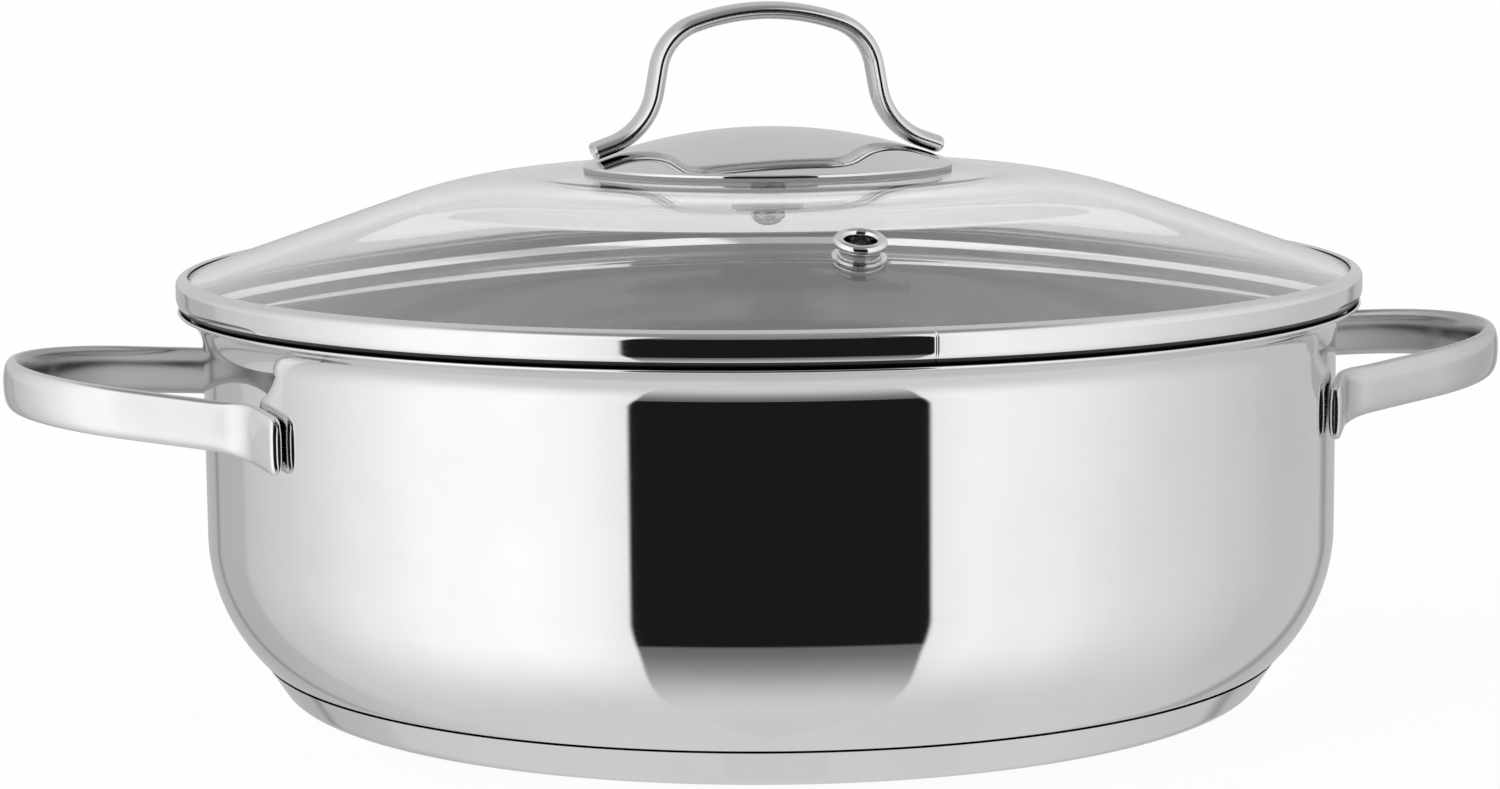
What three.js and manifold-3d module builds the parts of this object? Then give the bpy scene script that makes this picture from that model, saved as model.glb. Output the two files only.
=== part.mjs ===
// Low stainless steel cooking pot with two strap handles and a domed glass lid.
// Millimetres, +Z up. The origin is the centre of the underside, and X runs through the side handles.

import * as THREE from 'three';
import { mergeVertices } from 'three/addons/utils/BufferGeometryUtils.js';
import Module from 'manifold-3d';

const wasm = await Module();
wasm.setup();

const DEG = Math.PI / 180;

// Gap between pieces that touch on the real pot
const SEAT_GAP = 0.3;

// Pot: a drawn steel shell with a flared pouring rim
const POT_INNER_D = 280;
const POT_SHEET = 0.8;
const POT_HEIGHT = 96.4;
const SIDE_BEND_R = 43;
const SEAM_Z = 10.6;
const SEAM_SLOPE = 43.5 * DEG;
const FLARE_R = 8.5;
const FLARE_SWEEP = 70 * DEG;

// Base: an aluminium heat disc closed in a steel cap
const CAP_SHEET = 0.8;
const CAP_INSET = 19;
const CAP_BEND_R = 5;
const CAP_LEAN = 57 * DEG;
const CORE_THICK = 5.2;

// Side handles: oval straps bent to a bow, with flatter pads that lie on the wall
const HANDLE_STANDOFF = 48.2;
const HANDLE_BELOW_RIM = 16.4;
const HANDLE_TILT = 6 * DEG;
const HANDLE_HEIGHT = 12;
const HANDLE_THICK = 4.7;
const HANDLE_BOW_R = 46;
const HANDLE_LEG_TURN = 66 * DEG;
const HANDLE_BEND_R = 14;
const PAD_HEIGHT = 13.6;
const PAD_THICK = 3.2;
const PAD_DROP = 2;
const PAD_END = 28 * DEG;
const PAD_END_ROUND = 1.1;

// Sections of the straps: 2 is an ellipse, more is squarer
const HANDLE_SQUARENESS = 2.4;
const PAD_SQUARENESS = 3.2;
const LOOP_SQUARENESS = 2.1;

// Lid: its turn on the pot, which the vent and the lid handle share
const LID_TURN = 1.6 * DEG;

// Lid: the glass dome, a flat crown, a round shoulder and a straight brim
const GLASS_THICK = 4;
const GLASS_CROWN_R = 1500;
const GLASS_CROWN_EDGE = 2.25 * DEG;
const GLASS_SHOULDER_R = 118;
const GLASS_BRIM_SLOPE = 19 * DEG;
const GLASS_EDGE_CHAMFER = 0.6;
const GLASS_HOLE_R = 4.6;

// Lid: the steel band pressed round the edge of the glass, with a short inner leg turned up in the flare
const BAND_OVERHANG = 6.2;
const BAND_SHEET = 0.6;
const BAND_HEEL_R = 4;
const BAND_HEIGHT = 9;
const BAND_ROLL_R = 2;
const BAND_LIP_REACH = 2.8;
const BAND_DIP_TURN = 158 * DEG;
const BAND_DIP_BEND_R = 1.2;
const BAND_LEG_RISE = 3.4;

// Steam vent: a riveted eyelet and its backing ring
const VENT_INSET = 42.6;
const VENT_BORE_R = 3.6;
const VENT_TUBE_WALL = 0.7;
const VENT_LIP_R = 1.25;
const VENT_HOLE_SPARE = 0.5;
const VENT_RING_R = 6.2;
const VENT_RING_THICK = 0.8;
const VENT_RIVET_R = 5.7;
const VENT_RIVET_THICK = 0.6;

// Lid handle: a strap loop welded on a domed disc
const DISC_R = 46;
const DISC_SHEET = 0.8;
const DISC_RISE = 8.7;
const DISC_SKIRT = 0.6;
const GASKET_THICK = 0.3;
const GASKET_W = 2.2;
const LOOP_RISE = 31.2;
const LOOP_WIDTH = 11;
const LOOP_THICK = 4.4;
const LOOP_CROWN_R = 56;
const LOOP_CROWN_TURN = 19 * DEG;
const LOOP_CORNER_R = 13.8;
const LOOP_LEG_LEAN = 10.3 * DEG;
const LOOP_FOOT_BEND_R = 16.8;
const LOOP_FOOT_LENGTH = 5;
const LOOP_END_ROUND = 0.8;

// Lid handle fixing: stud, silicone bush, washer and domed nut
const STUD_R = 2.5;
const STUD_HEAD_R = 6;
const STUD_HEAD_THICK = 1.2;
const BUSH_FLANGE_R = 9;
const BUSH_FLANGE_THICK = 0.8;
const WASHER_R = 8;
const WASHER_THICK = 0.8;
const NUT_FLATS = 8;
const NUT_HEX_H = 3;
const NUT_DOME_H = 2.4;
const NUT_DOME_R = 3.6;

// Facets round each turned piece, points round each strap, steps along each bend, and rounds of settling
const LARGE_FACETS = 48;
const DISC_FACETS = 36;
const SMALL_FACETS = 20;
const HEX_FACETS = 6;
const STRAP_SIDES = 12;
const TIGHT_STEPS = 2;
const BEND_STEPS = 3;
const SWEEP_STEPS = 5;
const BOW_STEPS = 8;
const SETTLE_ROUNDS = 8;

const FINISHES = {
  mirrorSteel: { color: 0xd9dadb, roughness: 0.08, metalness: 1 },
  satinSteel: { color: 0xc6c7c9, roughness: 0.25, metalness: 1 },
  aluminium: { color: 0xb9babc, roughness: 0.45, metalness: 1 },
  glass: { color: 0xe6ecea, roughness: 0.03, metalness: 0, transparent: true, opacity: 0.3 },
  silicone: { color: 0xdedfde, roughness: 0.5, metalness: 0 },
};

// Pot: the heel joins the side bend at the seam and runs level into the floor
const potR = POT_INNER_D / 2 + POT_SHEET;
const floorZ = CAP_SHEET + CORE_THICK + 2 * SEAT_GAP;
const bendCentre = at(potR - SIDE_BEND_R, SEAM_Z + SIDE_BEND_R * Math.sin(SEAM_SLOPE));
const heelR = (SEAM_Z - floorZ) / (1 - Math.sin(SEAM_SLOPE));
const heelCentre = along(bendCentre, SIDE_BEND_R - heelR, -SEAM_SLOPE);
const flareZ = POT_HEIGHT - (FLARE_R + POT_SHEET) * Math.sin(FLARE_SWEEP);
const flareCentre = at(potR + FLARE_R, flareZ);

// Cap: the corner of its underside and its side, and the bend between them
const capCornerR = potR - CAP_INSET;
const capBendCentre = at(capCornerR - CAP_BEND_R * Math.tan(CAP_LEAN / 2), CAP_BEND_R);

// Band: its round heel and its dip lie inside the flare, and its top roll ends along the brim
const bandR = potR + BAND_OVERHANG;
const bandSeatR = FLARE_R + POT_SHEET + SEAT_GAP;
const heelReach = bandSeatR + BAND_HEEL_R;
const bandHeelX = bandR - BAND_HEEL_R;
const bandHeelCentre = at(bandHeelX, flareZ + Math.sqrt(heelReach ** 2 - (flareCentre.x - bandHeelX) ** 2));
const bandZ = bandHeelCentre.y - BAND_HEEL_R;
const dipCentre = along(flareCentre, bandSeatR + BAND_DIP_BEND_R, BAND_DIP_TURN);
const bandInnerR = dipCentre.x - BAND_DIP_BEND_R;
const rollX = bandR - BAND_ROLL_R;
const lipRun = BAND_LIP_REACH - BAND_ROLL_R + BAND_ROLL_R * Math.sin(GLASS_BRIM_SLOPE);
const lipRise = BAND_ROLL_R * Math.cos(GLASS_BRIM_SLOPE) + lipRun * Math.tan(GLASS_BRIM_SLOPE);
const rollCentre = at(rollX, bandZ + BAND_HEIGHT - lipRise);

// Glass: its brim lies just under the band's lip, and the dome rises from there
const glassR = bandR - BAND_SHEET - SEAT_GAP;
const brimUnderLip = (BAND_ROLL_R - BAND_SHEET - SEAT_GAP) / Math.cos(GLASS_BRIM_SLOPE);
const brimZ = rollCentre.y + brimUnderLip - (glassR - rollX) * Math.tan(GLASS_BRIM_SLOPE);
const crownEdgeR = GLASS_CROWN_R * Math.sin(GLASS_CROWN_EDGE);
const shoulderRun = GLASS_SHOULDER_R * (Math.sin(GLASS_BRIM_SLOPE) - Math.sin(GLASS_CROWN_EDGE));
const brimR = crownEdgeR + shoulderRun;
const domeRise = GLASS_CROWN_R * (1 - Math.cos(GLASS_CROWN_EDGE))
  + GLASS_SHOULDER_R * (Math.cos(GLASS_CROWN_EDGE) - Math.cos(GLASS_BRIM_SLOPE))
  + (glassR - brimR) * Math.tan(GLASS_BRIM_SLOPE);
const glassTopZ = brimZ + domeRise;
const crownCentre = at(0, glassTopZ - GLASS_CROWN_R);
const shoulderCentre = along(crownCentre, GLASS_CROWN_R - GLASS_SHOULDER_R, upright(GLASS_CROWN_EDGE));
const ventR = glassR - VENT_INSET;

// Disc: its skirt stands on the gasket, which lies on the crown of the glass
const gasketInnerR = DISC_R - GASKET_W;
const gasketTopZ = crownZ(gasketInnerR, 0) + SEAT_GAP + GASKET_THICK;
const discFootZ = gasketTopZ + SEAT_GAP;
const discDomeR = (DISC_R ** 2 + DISC_RISE ** 2) / (2 * DISC_RISE);
const discCentre = at(0, discFootZ + DISC_SKIRT + DISC_RISE - discDomeR);
const discTopZ = discCentre.y + discDomeR;

// Fixing under the glass, from the bush down to the nut
const studBoreR = STUD_R + SEAT_GAP;
const bushTopZ = crownZ(BUSH_FLANGE_R, GLASS_THICK) - SEAT_GAP;
const washerTopZ = bushTopZ - BUSH_FLANGE_THICK - SEAT_GAP;
const nutTopZ = washerTopZ - WASHER_THICK - SEAT_GAP;
const nutHexLowZ = nutTopZ - NUT_HEX_H;

function at(x, y) {
  return new THREE.Vector2(x, y);
}

// A point at a distance from another, in a direction measured from the first axis
function along(from, distance, angle) {
  return at(from.x + distance * Math.cos(angle), from.y + distance * Math.sin(angle));
}

// Direction square to a surface that slopes down by an angle
function upright(slope) {
  return Math.PI / 2 - slope;
}

// Height of the crown of the glass at a radius, at a depth below its outer face
function crownZ(radius, depth) {
  return crownCentre.y + Math.sqrt((GLASS_CROWN_R - depth) ** 2 - radius ** 2);
}

// Height of the disc's dome at a radius, at a depth below its outer face
function discZ(radius, depth) {
  return discCentre.y + Math.sqrt((discDomeR - depth) ** 2 - radius ** 2);
}

// Slope of the glass at a radius
function glassSlope(radius) {
  if (radius <= crownEdgeR) {
    return Math.asin(radius / GLASS_CROWN_R);
  }
  if (radius <= brimR) {
    return Math.asin(Math.sin(GLASS_CROWN_EDGE) + (radius - crownEdgeR) / GLASS_SHOULDER_R);
  }
  return GLASS_BRIM_SLOPE;
}

// Height of the outer face of the glass at a radius
function glassZ(radius) {
  if (radius <= crownEdgeR) {
    return crownZ(radius, 0);
  }
  if (radius <= brimR) {
    return shoulderCentre.y + GLASS_SHOULDER_R * Math.cos(glassSlope(radius));
  }
  return brimZ + (glassR - radius) * Math.tan(GLASS_BRIM_SLOPE);
}

// Points of an arc about a centre, both ends included
function arc(centre, radius, from, to, steps) {
  const step = (to - from) / steps;
  return Array.from({ length: steps + 1 }, (_, i) => along(centre, radius, from + i * step));
}

// Where a line from a point outside a circle first meets that circle
function lineToCircle(point, angle, centre, radius) {
  const offset = point.clone().sub(centre);
  const half = offset.x * Math.cos(angle) + offset.y * Math.sin(angle);
  return along(point, -half - Math.sqrt(half ** 2 - offset.lengthSq() + radius ** 2), angle);
}

// A profile of radius and height turned about Z, with its material on the left of its run
function revolve(profile, facets) {
  return new THREE.LatheGeometry(profile, facets).rotateX(Math.PI / 2);
}

// A closed section turned about Z
function revolveRing(section, facets) {
  return revolve([...section, section[0].clone()], facets);
}

// A flat ring
function flatRing(innerR, outerR, lowZ, highZ, facets) {
  return revolveRing([at(innerR, lowZ), at(outerR, lowZ), at(outerR, highZ), at(innerR, highZ)], facets);
}

// A plain cylinder about Z
function cylinder(radius, lowZ, highZ, facets) {
  return revolve([at(0, lowZ), at(radius, lowZ), at(radius, highZ), at(0, highZ)], facets);
}

// A closed skin over a row of rings with equal numbers of points
function loft(rings) {
  const sides = rings[0].length;
  const middle = (ring) => ring.reduce((sum, p) => sum.add(p), new THREE.Vector3()).divideScalar(sides);
  const points = [...rings.flat(), middle(rings[0]), middle(rings.at(-1))];
  const faces = [];
  for (let i = 0; i + 1 < rings.length; i += 1) {
    for (let j = 0; j < sides; j += 1) {
      const a = i * sides + j;
      const b = i * sides + ((j + 1) % sides);
      faces.push(a, b, b + sides, a, b + sides, a + sides);
    }
  }
  const lastRing = (rings.length - 1) * sides;
  for (let j = 0; j < sides; j += 1) {
    const next = (j + 1) % sides;
    faces.push(points.length - 2, next, j);
    faces.push(points.length - 1, lastRing + j, lastRing + next);
  }
  const geometry = new THREE.BufferGeometry().setFromPoints(points);
  geometry.setIndex(faces);
  return geometry;
}

// A closed geometry as a solid that can be joined and cut
function solidOf(geometry) {
  const bare = geometry.clone();
  bare.deleteAttribute('normal');
  bare.deleteAttribute('uv');
  const merged = mergeVertices(bare);
  const vertProperties = Float32Array.from(merged.attributes.position.array);
  const triVerts = Uint32Array.from(merged.index.array);
  return new wasm.Manifold(new wasm.Mesh({ numProp: 3, vertProperties, triVerts }));
}

// A solid back as a geometry
function geometryOf(solid) {
  const mesh = solid.getMesh();
  const geometry = new THREE.BufferGeometry();
  geometry.setAttribute('position', new THREE.BufferAttribute(mesh.vertProperties, 3));
  geometry.setIndex(new THREE.BufferAttribute(mesh.triVerts, 1));
  return geometry;
}

// A named piece in its finish
function piece(name, geometry, finish) {
  geometry.computeVertexNormals();
  const mesh = new THREE.Mesh(geometry, new THREE.MeshStandardMaterial(FINISHES[finish]));
  mesh.name = name;
  return mesh;
}

// A plane path that starts with a heading and goes on by turns and straights
class Path {
  constructor(start, heading) {
    this.stations = [{ point: start, heading }];
  }

  get end() {
    return this.stations.at(-1);
  }

  turn(radius, angle, steps) {
    const { point, heading } = this.end;
    const side = (Math.sign(angle) * Math.PI) / 2;
    const centre = along(point, radius, heading + side);
    for (let i = 1; i <= steps; i += 1) {
      const now = heading + (angle * i) / steps;
      this.stations.push({ point: along(centre, radius, now - side), heading: now });
    }
    return this;
  }

  straight(length, steps) {
    const { point, heading } = this.end;
    for (let i = 1; i <= steps; i += 1) {
      this.stations.push({ point: along(point, (length * i) / steps, heading), heading });
    }
    return this;
  }

  // Length of path left after each station
  lengthsLeft() {
    const left = this.stations.map(() => 0);
    for (let i = left.length - 2; i >= 0; i -= 1) {
      left[i] = left[i + 1] + this.stations[i].point.distanceTo(this.stations[i + 1].point);
    }
    return left;
  }
}

// A strap bent along a half path and along the mirror image of it
function mirroredStrap(path, ringAt) {
  const left = path.lengthsLeft();
  const ring = (i, side) => ringAt(path.stations[i], left[i], side);
  const half = path.stations.map((_, i) => ring(i, 1));
  const other = path.stations.slice(1).map((_, i) => ring(i + 1, -1));
  return loft([...other.reverse(), ...half]);
}

// Rounded strap section, a superellipse of a width, a thickness and a squareness
function strapSection(width, thick, squareness) {
  const bulge = (v) => Math.sign(v) * Math.abs(v) ** (2 / squareness);
  return Array.from({ length: STRAP_SIDES }, (_, i) => {
    const angle = ((i + 0.5) / STRAP_SIDES) * 2 * Math.PI;
    return at((bulge(Math.cos(angle)) * width) / 2, (bulge(Math.sin(angle)) * thick) / 2);
  });
}

// How much smaller a strap's section gets near its rounded end
function endShrink(lengthLeft, round) {
  const near = Math.min(lengthLeft / round, 1);
  return 2 * round * (1 - Math.sqrt(1 - (1 - near) ** 2));
}

// Pot shell: floor, heel, side bend, wall and flared rim in one sheet
function potShell() {
  const rimAngle = Math.PI - FLARE_SWEEP;
  const rimCentre = along(flareCentre, FLARE_R + POT_SHEET / 2, rimAngle);
  return revolve([
    at(0, floorZ),
    ...arc(heelCentre, heelR, -Math.PI / 2, -SEAM_SLOPE, BEND_STEPS),
    ...arc(bendCentre, SIDE_BEND_R, -SEAM_SLOPE, 0, SWEEP_STEPS).slice(1),
    ...arc(flareCentre, FLARE_R, Math.PI, rimAngle, BEND_STEPS),
    ...arc(rimCentre, POT_SHEET / 2, rimAngle - Math.PI, rimAngle, BEND_STEPS).slice(1, -1),
    ...arc(flareCentre, FLARE_R + POT_SHEET, rimAngle, Math.PI, BEND_STEPS),
    ...arc(bendCentre, SIDE_BEND_R - POT_SHEET, 0, -SEAM_SLOPE, SWEEP_STEPS),
    ...arc(heelCentre, heelR - POT_SHEET, -SEAM_SLOPE, -Math.PI / 2, BEND_STEPS).slice(1),
    at(0, floorZ + POT_SHEET),
  ], LARGE_FACETS);
}

// The cap's underside and side at a distance inside its outer face, up to the pot's heel
function capLine(inside) {
  const foot = at(capCornerR - inside / Math.sin(CAP_LEAN), 0);
  return [
    ...arc(capBendCentre, CAP_BEND_R - inside, -Math.PI / 2, CAP_LEAN - Math.PI / 2, BEND_STEPS),
    lineToCircle(foot, CAP_LEAN, heelCentre, heelR + SEAT_GAP),
  ];
}

// Base cap: a pressed dish that closes the heat disc against the pot's heel
function baseCap() {
  return revolve([
    at(0, 0),
    ...capLine(0),
    ...capLine(CAP_SHEET).reverse(),
    at(0, CAP_SHEET),
  ], LARGE_FACETS);
}

// Heat disc: fills the cap up to the pot's heel and floor
function baseCore() {
  const inside = CAP_SHEET + SEAT_GAP;
  const line = capLine(inside);
  const crestAngle = line.at(-1).clone().sub(heelCentre).angle() - 2 * Math.PI;
  return revolve([
    at(0, inside),
    ...line,
    ...arc(heelCentre, heelR + SEAT_GAP, crestAngle, -Math.PI / 2, BEND_STEPS).slice(1),
    at(0, floorZ - SEAT_GAP),
  ], LARGE_FACETS);
}

// Side handle on +X: bow, leg, bend to the wall, and the pad that follows the wall and drops a little
function sideHandle() {
  const padR = potR + SEAT_GAP + PAD_THICK / 2;
  const tip = at(potR + HANDLE_STANDOFF - HANDLE_THICK / 2, 0);
  const tipZ = POT_HEIGHT - HANDLE_BELOW_RIM;
  const path = new Path(tip, Math.PI / 2).turn(HANDLE_BOW_R, HANDLE_LEG_TURN, BOW_STEPS);
  const legHeading = path.end.heading;
  const bendSide = along(path.end.point, HANDLE_BEND_R, legHeading - Math.PI / 2);
  const bendMiddle = lineToCircle(bendSide, legHeading, at(0, 0), padR + HANDLE_BEND_R);
  path.straight(bendSide.distanceTo(bendMiddle), 1);
  path.turn(HANDLE_BEND_R, bendMiddle.angle() + Math.PI / 2 - legHeading, BEND_STEPS);
  const padLength = padR * (PAD_END - bendMiddle.angle());
  path.turn(padR, PAD_END - bendMiddle.angle(), TIGHT_STEPS);
  path.straight(PAD_END_ROUND, TIGHT_STEPS);
  return mirroredStrap(path, ({ point, heading }, lengthLeft, side) => {
    const padEnd = padLength + PAD_END_ROUND;
    const strap = THREE.MathUtils.smoothstep(lengthLeft, padEnd, padEnd + HANDLE_BEND_R);
    const shrink = endShrink(lengthLeft, PAD_END_ROUND);
    const height = THREE.MathUtils.lerp(PAD_HEIGHT, HANDLE_HEIGHT, strap) - shrink;
    const thick = THREE.MathUtils.lerp(PAD_THICK, HANDLE_THICK, strap) - shrink;
    const squareness = THREE.MathUtils.lerp(PAD_SQUARENESS, HANDLE_SQUARENESS, strap);
    const drop = PAD_DROP * Math.max(1 - lengthLeft / (padEnd + HANDLE_BEND_R), 0) ** 2;
    const z = tipZ - (tip.x - point.x) * Math.tan(HANDLE_TILT) - drop;
    return strapSection(height, thick, squareness).map((p) => {
      const spot = along(point, p.y, heading - Math.PI / 2);
      return new THREE.Vector3(spot.x, side * spot.y, z + p.x);
    });
  });
}

// A line of the dome at a depth below its outer face, from the middle hole to a radius on the brim
function domeLine(depth, endR) {
  const hole = upright(Math.asin(GLASS_HOLE_R / (GLASS_CROWN_R - depth)));
  const crownEdge = upright(GLASS_CROWN_EDGE);
  const brim = upright(GLASS_BRIM_SLOPE);
  const line = [
    ...arc(crownCentre, GLASS_CROWN_R - depth, hole, crownEdge, TIGHT_STEPS),
    ...arc(shoulderCentre, GLASS_SHOULDER_R - depth, crownEdge, brim, SWEEP_STEPS).slice(1),
  ];
  const brimStart = line.at(-1);
  line.push(along(brimStart, (endR - brimStart.x) / Math.cos(GLASS_BRIM_SLOPE), -GLASS_BRIM_SLOPE));
  return line;
}

// Lid glass: the dome with its hole for the stud and its hole for the vent
function lidGlass() {
  const chamferR = glassR - GLASS_EDGE_CHAMFER;
  const outer = domeLine(0, chamferR);
  const inner = domeLine(GLASS_THICK, chamferR);
  const dome = revolveRing([
    ...inner,
    at(glassR, inner.at(-1).y + GLASS_EDGE_CHAMFER),
    at(glassR, outer.at(-1).y - GLASS_EDGE_CHAMFER),
    ...outer.reverse(),
  ], LARGE_FACETS);
  const holeR = VENT_BORE_R + VENT_TUBE_WALL + VENT_HOLE_SPARE;
  const drill = cylinder(holeR, -2 * GLASS_THICK, GLASS_THICK, SMALL_FACETS);
  const vent = ventGroup();
  vent.updateMatrix();
  return geometryOf(solidOf(dome).subtract(solidOf(drill.applyMatrix4(vent.matrix))));
}

// The place of the vent: on the dome towards -Y, square to the glass
function ventGroup() {
  const group = new THREE.Group();
  group.position.set(ventR * Math.sin(LID_TURN), -ventR * Math.cos(LID_TURN), glassZ(ventR));
  group.rotation.set(glassSlope(ventR), 0, LID_TURN, 'ZXY');
  return group;
}

// Band: a short inner leg, a dip along the flare, a round heel, a web and a lip rolled over the glass
function lidBand() {
  const lipTurn = upright(GLASS_BRIM_SLOPE);
  const lipLength = lipRun / Math.cos(GLASS_BRIM_SLOPE);
  const seatTurn = bandHeelCentre.clone().sub(flareCentre).angle();
  const legTopZ = dipCentre.y - BAND_DIP_BEND_R + BAND_LEG_RISE;
  const face = (inside) => {
    const rollEnd = along(rollCentre, BAND_ROLL_R - inside, lipTurn);
    return [
      at(bandInnerR + inside, legTopZ),
      ...arc(dipCentre, BAND_DIP_BEND_R - inside, -Math.PI, BAND_DIP_TURN - Math.PI, BEND_STEPS),
      ...arc(flareCentre, bandSeatR + inside, BAND_DIP_TURN, seatTurn, TIGHT_STEPS).slice(1),
      ...arc(bandHeelCentre, BAND_HEEL_R - inside, seatTurn - Math.PI, 0, TIGHT_STEPS).slice(1),
      ...arc(rollCentre, BAND_ROLL_R - inside, 0, lipTurn, BEND_STEPS),
      along(rollEnd, lipLength, lipTurn + Math.PI / 2),
    ];
  };
  return revolveRing([...face(0), ...face(BAND_SHEET).reverse()], LARGE_FACETS);
}

// Vent eyelet: a tube with a lip rolled over above the glass, and riveted over below it
function ventEyelet() {
  const tubeR = VENT_BORE_R + VENT_TUBE_WALL;
  const rivetTop = -GLASS_THICK - VENT_RING_THICK - 3 * SEAT_GAP;
  const lipCentre = at(VENT_BORE_R + VENT_LIP_R, SEAT_GAP + VENT_LIP_R);
  const lipStart = -Math.acos((tubeR - lipCentre.x) / VENT_LIP_R);
  return revolveRing([
    at(VENT_BORE_R, rivetTop - VENT_RIVET_THICK),
    at(VENT_RIVET_R, rivetTop - VENT_RIVET_THICK),
    at(VENT_RIVET_R, rivetTop),
    at(tubeR, rivetTop),
    ...arc(lipCentre, VENT_LIP_R, lipStart, Math.PI, SWEEP_STEPS),
  ], SMALL_FACETS);
}

// Vent ring: backs the eyelet's rivet on the underside of the glass
function ventRing() {
  const tubeR = VENT_BORE_R + VENT_TUBE_WALL + SEAT_GAP;
  const top = -GLASS_THICK - SEAT_GAP;
  return flatRing(tubeR, VENT_RING_R, top - VENT_RING_THICK, top, SMALL_FACETS);
}

// Disc: a domed sheet with a short skirt
function handleDisc() {
  const edge = (depth) => upright(Math.asin((DISC_R - depth) / (discDomeR - depth)));
  return revolve([
    ...arc(discCentre, discDomeR - DISC_SHEET, Math.PI / 2, edge(DISC_SHEET), SWEEP_STEPS),
    at(DISC_R - DISC_SHEET, discFootZ),
    at(DISC_R, discFootZ),
    ...arc(discCentre, discDomeR, edge(0), Math.PI / 2, SWEEP_STEPS),
  ], DISC_FACETS);
}

// Gasket: keeps the skirt of the disc off the glass
function discGasket() {
  return revolveRing([
    at(gasketInnerR, crownZ(gasketInnerR, 0) + SEAT_GAP),
    at(DISC_R, crownZ(DISC_R, 0) + SEAT_GAP),
    at(DISC_R, gasketTopZ),
    at(gasketInnerR, gasketTopZ),
  ], DISC_FACETS);
}

// Half path of the lid handle: crown, corner, leg, and a foot along the slope of the disc
function loopPath(leg, footSlope) {
  const legHeading = LOOP_LEG_LEAN - Math.PI / 2;
  return new Path(at(0, discTopZ + LOOP_RISE - LOOP_THICK / 2), 0)
    .turn(LOOP_CROWN_R, -LOOP_CROWN_TURN, TIGHT_STEPS)
    .turn(LOOP_CORNER_R, legHeading + LOOP_CROWN_TURN, SWEEP_STEPS)
    .straight(leg, 1)
    .turn(LOOP_FOOT_BEND_R, -footSlope - legHeading, SWEEP_STEPS)
    .straight(LOOP_FOOT_LENGTH - LOOP_END_ROUND, 1)
    .straight(LOOP_END_ROUND, TIGHT_STEPS);
}

// Lid handle: the leg is as long as the foot needs to reach the disc, which sets the foot's slope
function handleLoop() {
  let leg = LOOP_RISE / 2;
  let footSlope = 0;
  for (let round = 0; round < SETTLE_ROUNDS; round += 1) {
    const foot = along(loopPath(leg, footSlope).end.point, -LOOP_FOOT_LENGTH / 2, -footSlope);
    footSlope = Math.asin(foot.x / discDomeR);
    const seat = discZ(foot.x, 0) + (LOOP_THICK / 2 + SEAT_GAP) / Math.cos(footSlope);
    leg += foot.y - seat;
  }
  return mirroredStrap(loopPath(leg, footSlope), ({ point, heading }, lengthLeft, side) => {
    const shrink = endShrink(lengthLeft, LOOP_END_ROUND);
    return strapSection(LOOP_WIDTH - shrink, LOOP_THICK - shrink, LOOP_SQUARENESS).map((p) => {
      const spot = along(point, p.y, heading + Math.PI / 2);
      return new THREE.Vector3(side * spot.x, p.x, spot.y);
    });
  });
}

// Stud: its head is welded under the disc, and its shank passes the glass into the nut
function discStud() {
  const headTop = discZ(STUD_HEAD_R, DISC_SHEET) - SEAT_GAP;
  return revolve([
    at(0, nutHexLowZ + SEAT_GAP),
    at(STUD_R, nutHexLowZ + SEAT_GAP),
    at(STUD_R, headTop - STUD_HEAD_THICK),
    at(STUD_HEAD_R, headTop - STUD_HEAD_THICK),
    at(STUD_HEAD_R, headTop),
    at(0, headTop),
  ], SMALL_FACETS);
}

// Bush: a silicone sleeve in the glass with a flange under it
function holeBush() {
  const sleeveR = GLASS_HOLE_R - SEAT_GAP;
  return revolveRing([
    at(studBoreR, bushTopZ - BUSH_FLANGE_THICK),
    at(BUSH_FLANGE_R, bushTopZ - BUSH_FLANGE_THICK),
    at(BUSH_FLANGE_R, bushTopZ),
    at(sleeveR, bushTopZ),
    at(sleeveR, glassTopZ),
    at(studBoreR, glassTopZ),
  ], SMALL_FACETS);
}

// Domed nut: a hexagon bored through for the stud, and a round end that closes the bore
function domedNut() {
  const cornerR = NUT_FLATS / 2 / Math.cos(Math.PI / HEX_FACETS);
  const hexagon = solidOf(cylinder(cornerR, nutHexLowZ, nutTopZ, HEX_FACETS));
  const bore = solidOf(cylinder(studBoreR, nutHexLowZ, nutTopZ + WASHER_THICK, SMALL_FACETS));
  const quarter = arc(at(0, 0), 1, -Math.PI / 2, 0, SWEEP_STEPS);
  const dome = quarter.map((p) => at(p.x * NUT_DOME_R, nutHexLowZ + p.y * NUT_DOME_H));
  const joinZ = nutHexLowZ + NUT_HEX_H / 2;
  const roundEnd = revolve([...dome, at(NUT_DOME_R, joinZ), at(0, joinZ)], SMALL_FACETS);
  return geometryOf(hexagon.add(solidOf(roundEnd)).subtract(bore));
}

const pot = new THREE.Group();
pot.add(
  piece('pot_body', potShell(), 'mirrorSteel'),
  piece('base_core', baseCore(), 'aluminium'),
  piece('base_cap', baseCap(), 'mirrorSteel'),
  piece('side_handle_right', sideHandle(), 'satinSteel'),
);
const leftHandle = piece('side_handle_left', sideHandle(), 'satinSteel');
leftHandle.rotation.z = Math.PI;
pot.add(leftHandle);

const vent = ventGroup();
vent.add(
  piece('vent_eyelet', ventEyelet(), 'mirrorSteel'),
  piece('vent_ring', ventRing(), 'satinSteel'),
);

const loop = piece('lid_handle_loop', handleLoop(), 'mirrorSteel');
loop.rotation.z = LID_TURN;

const washer = flatRing(studBoreR, WASHER_R, washerTopZ - WASHER_THICK, washerTopZ, SMALL_FACETS);

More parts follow.
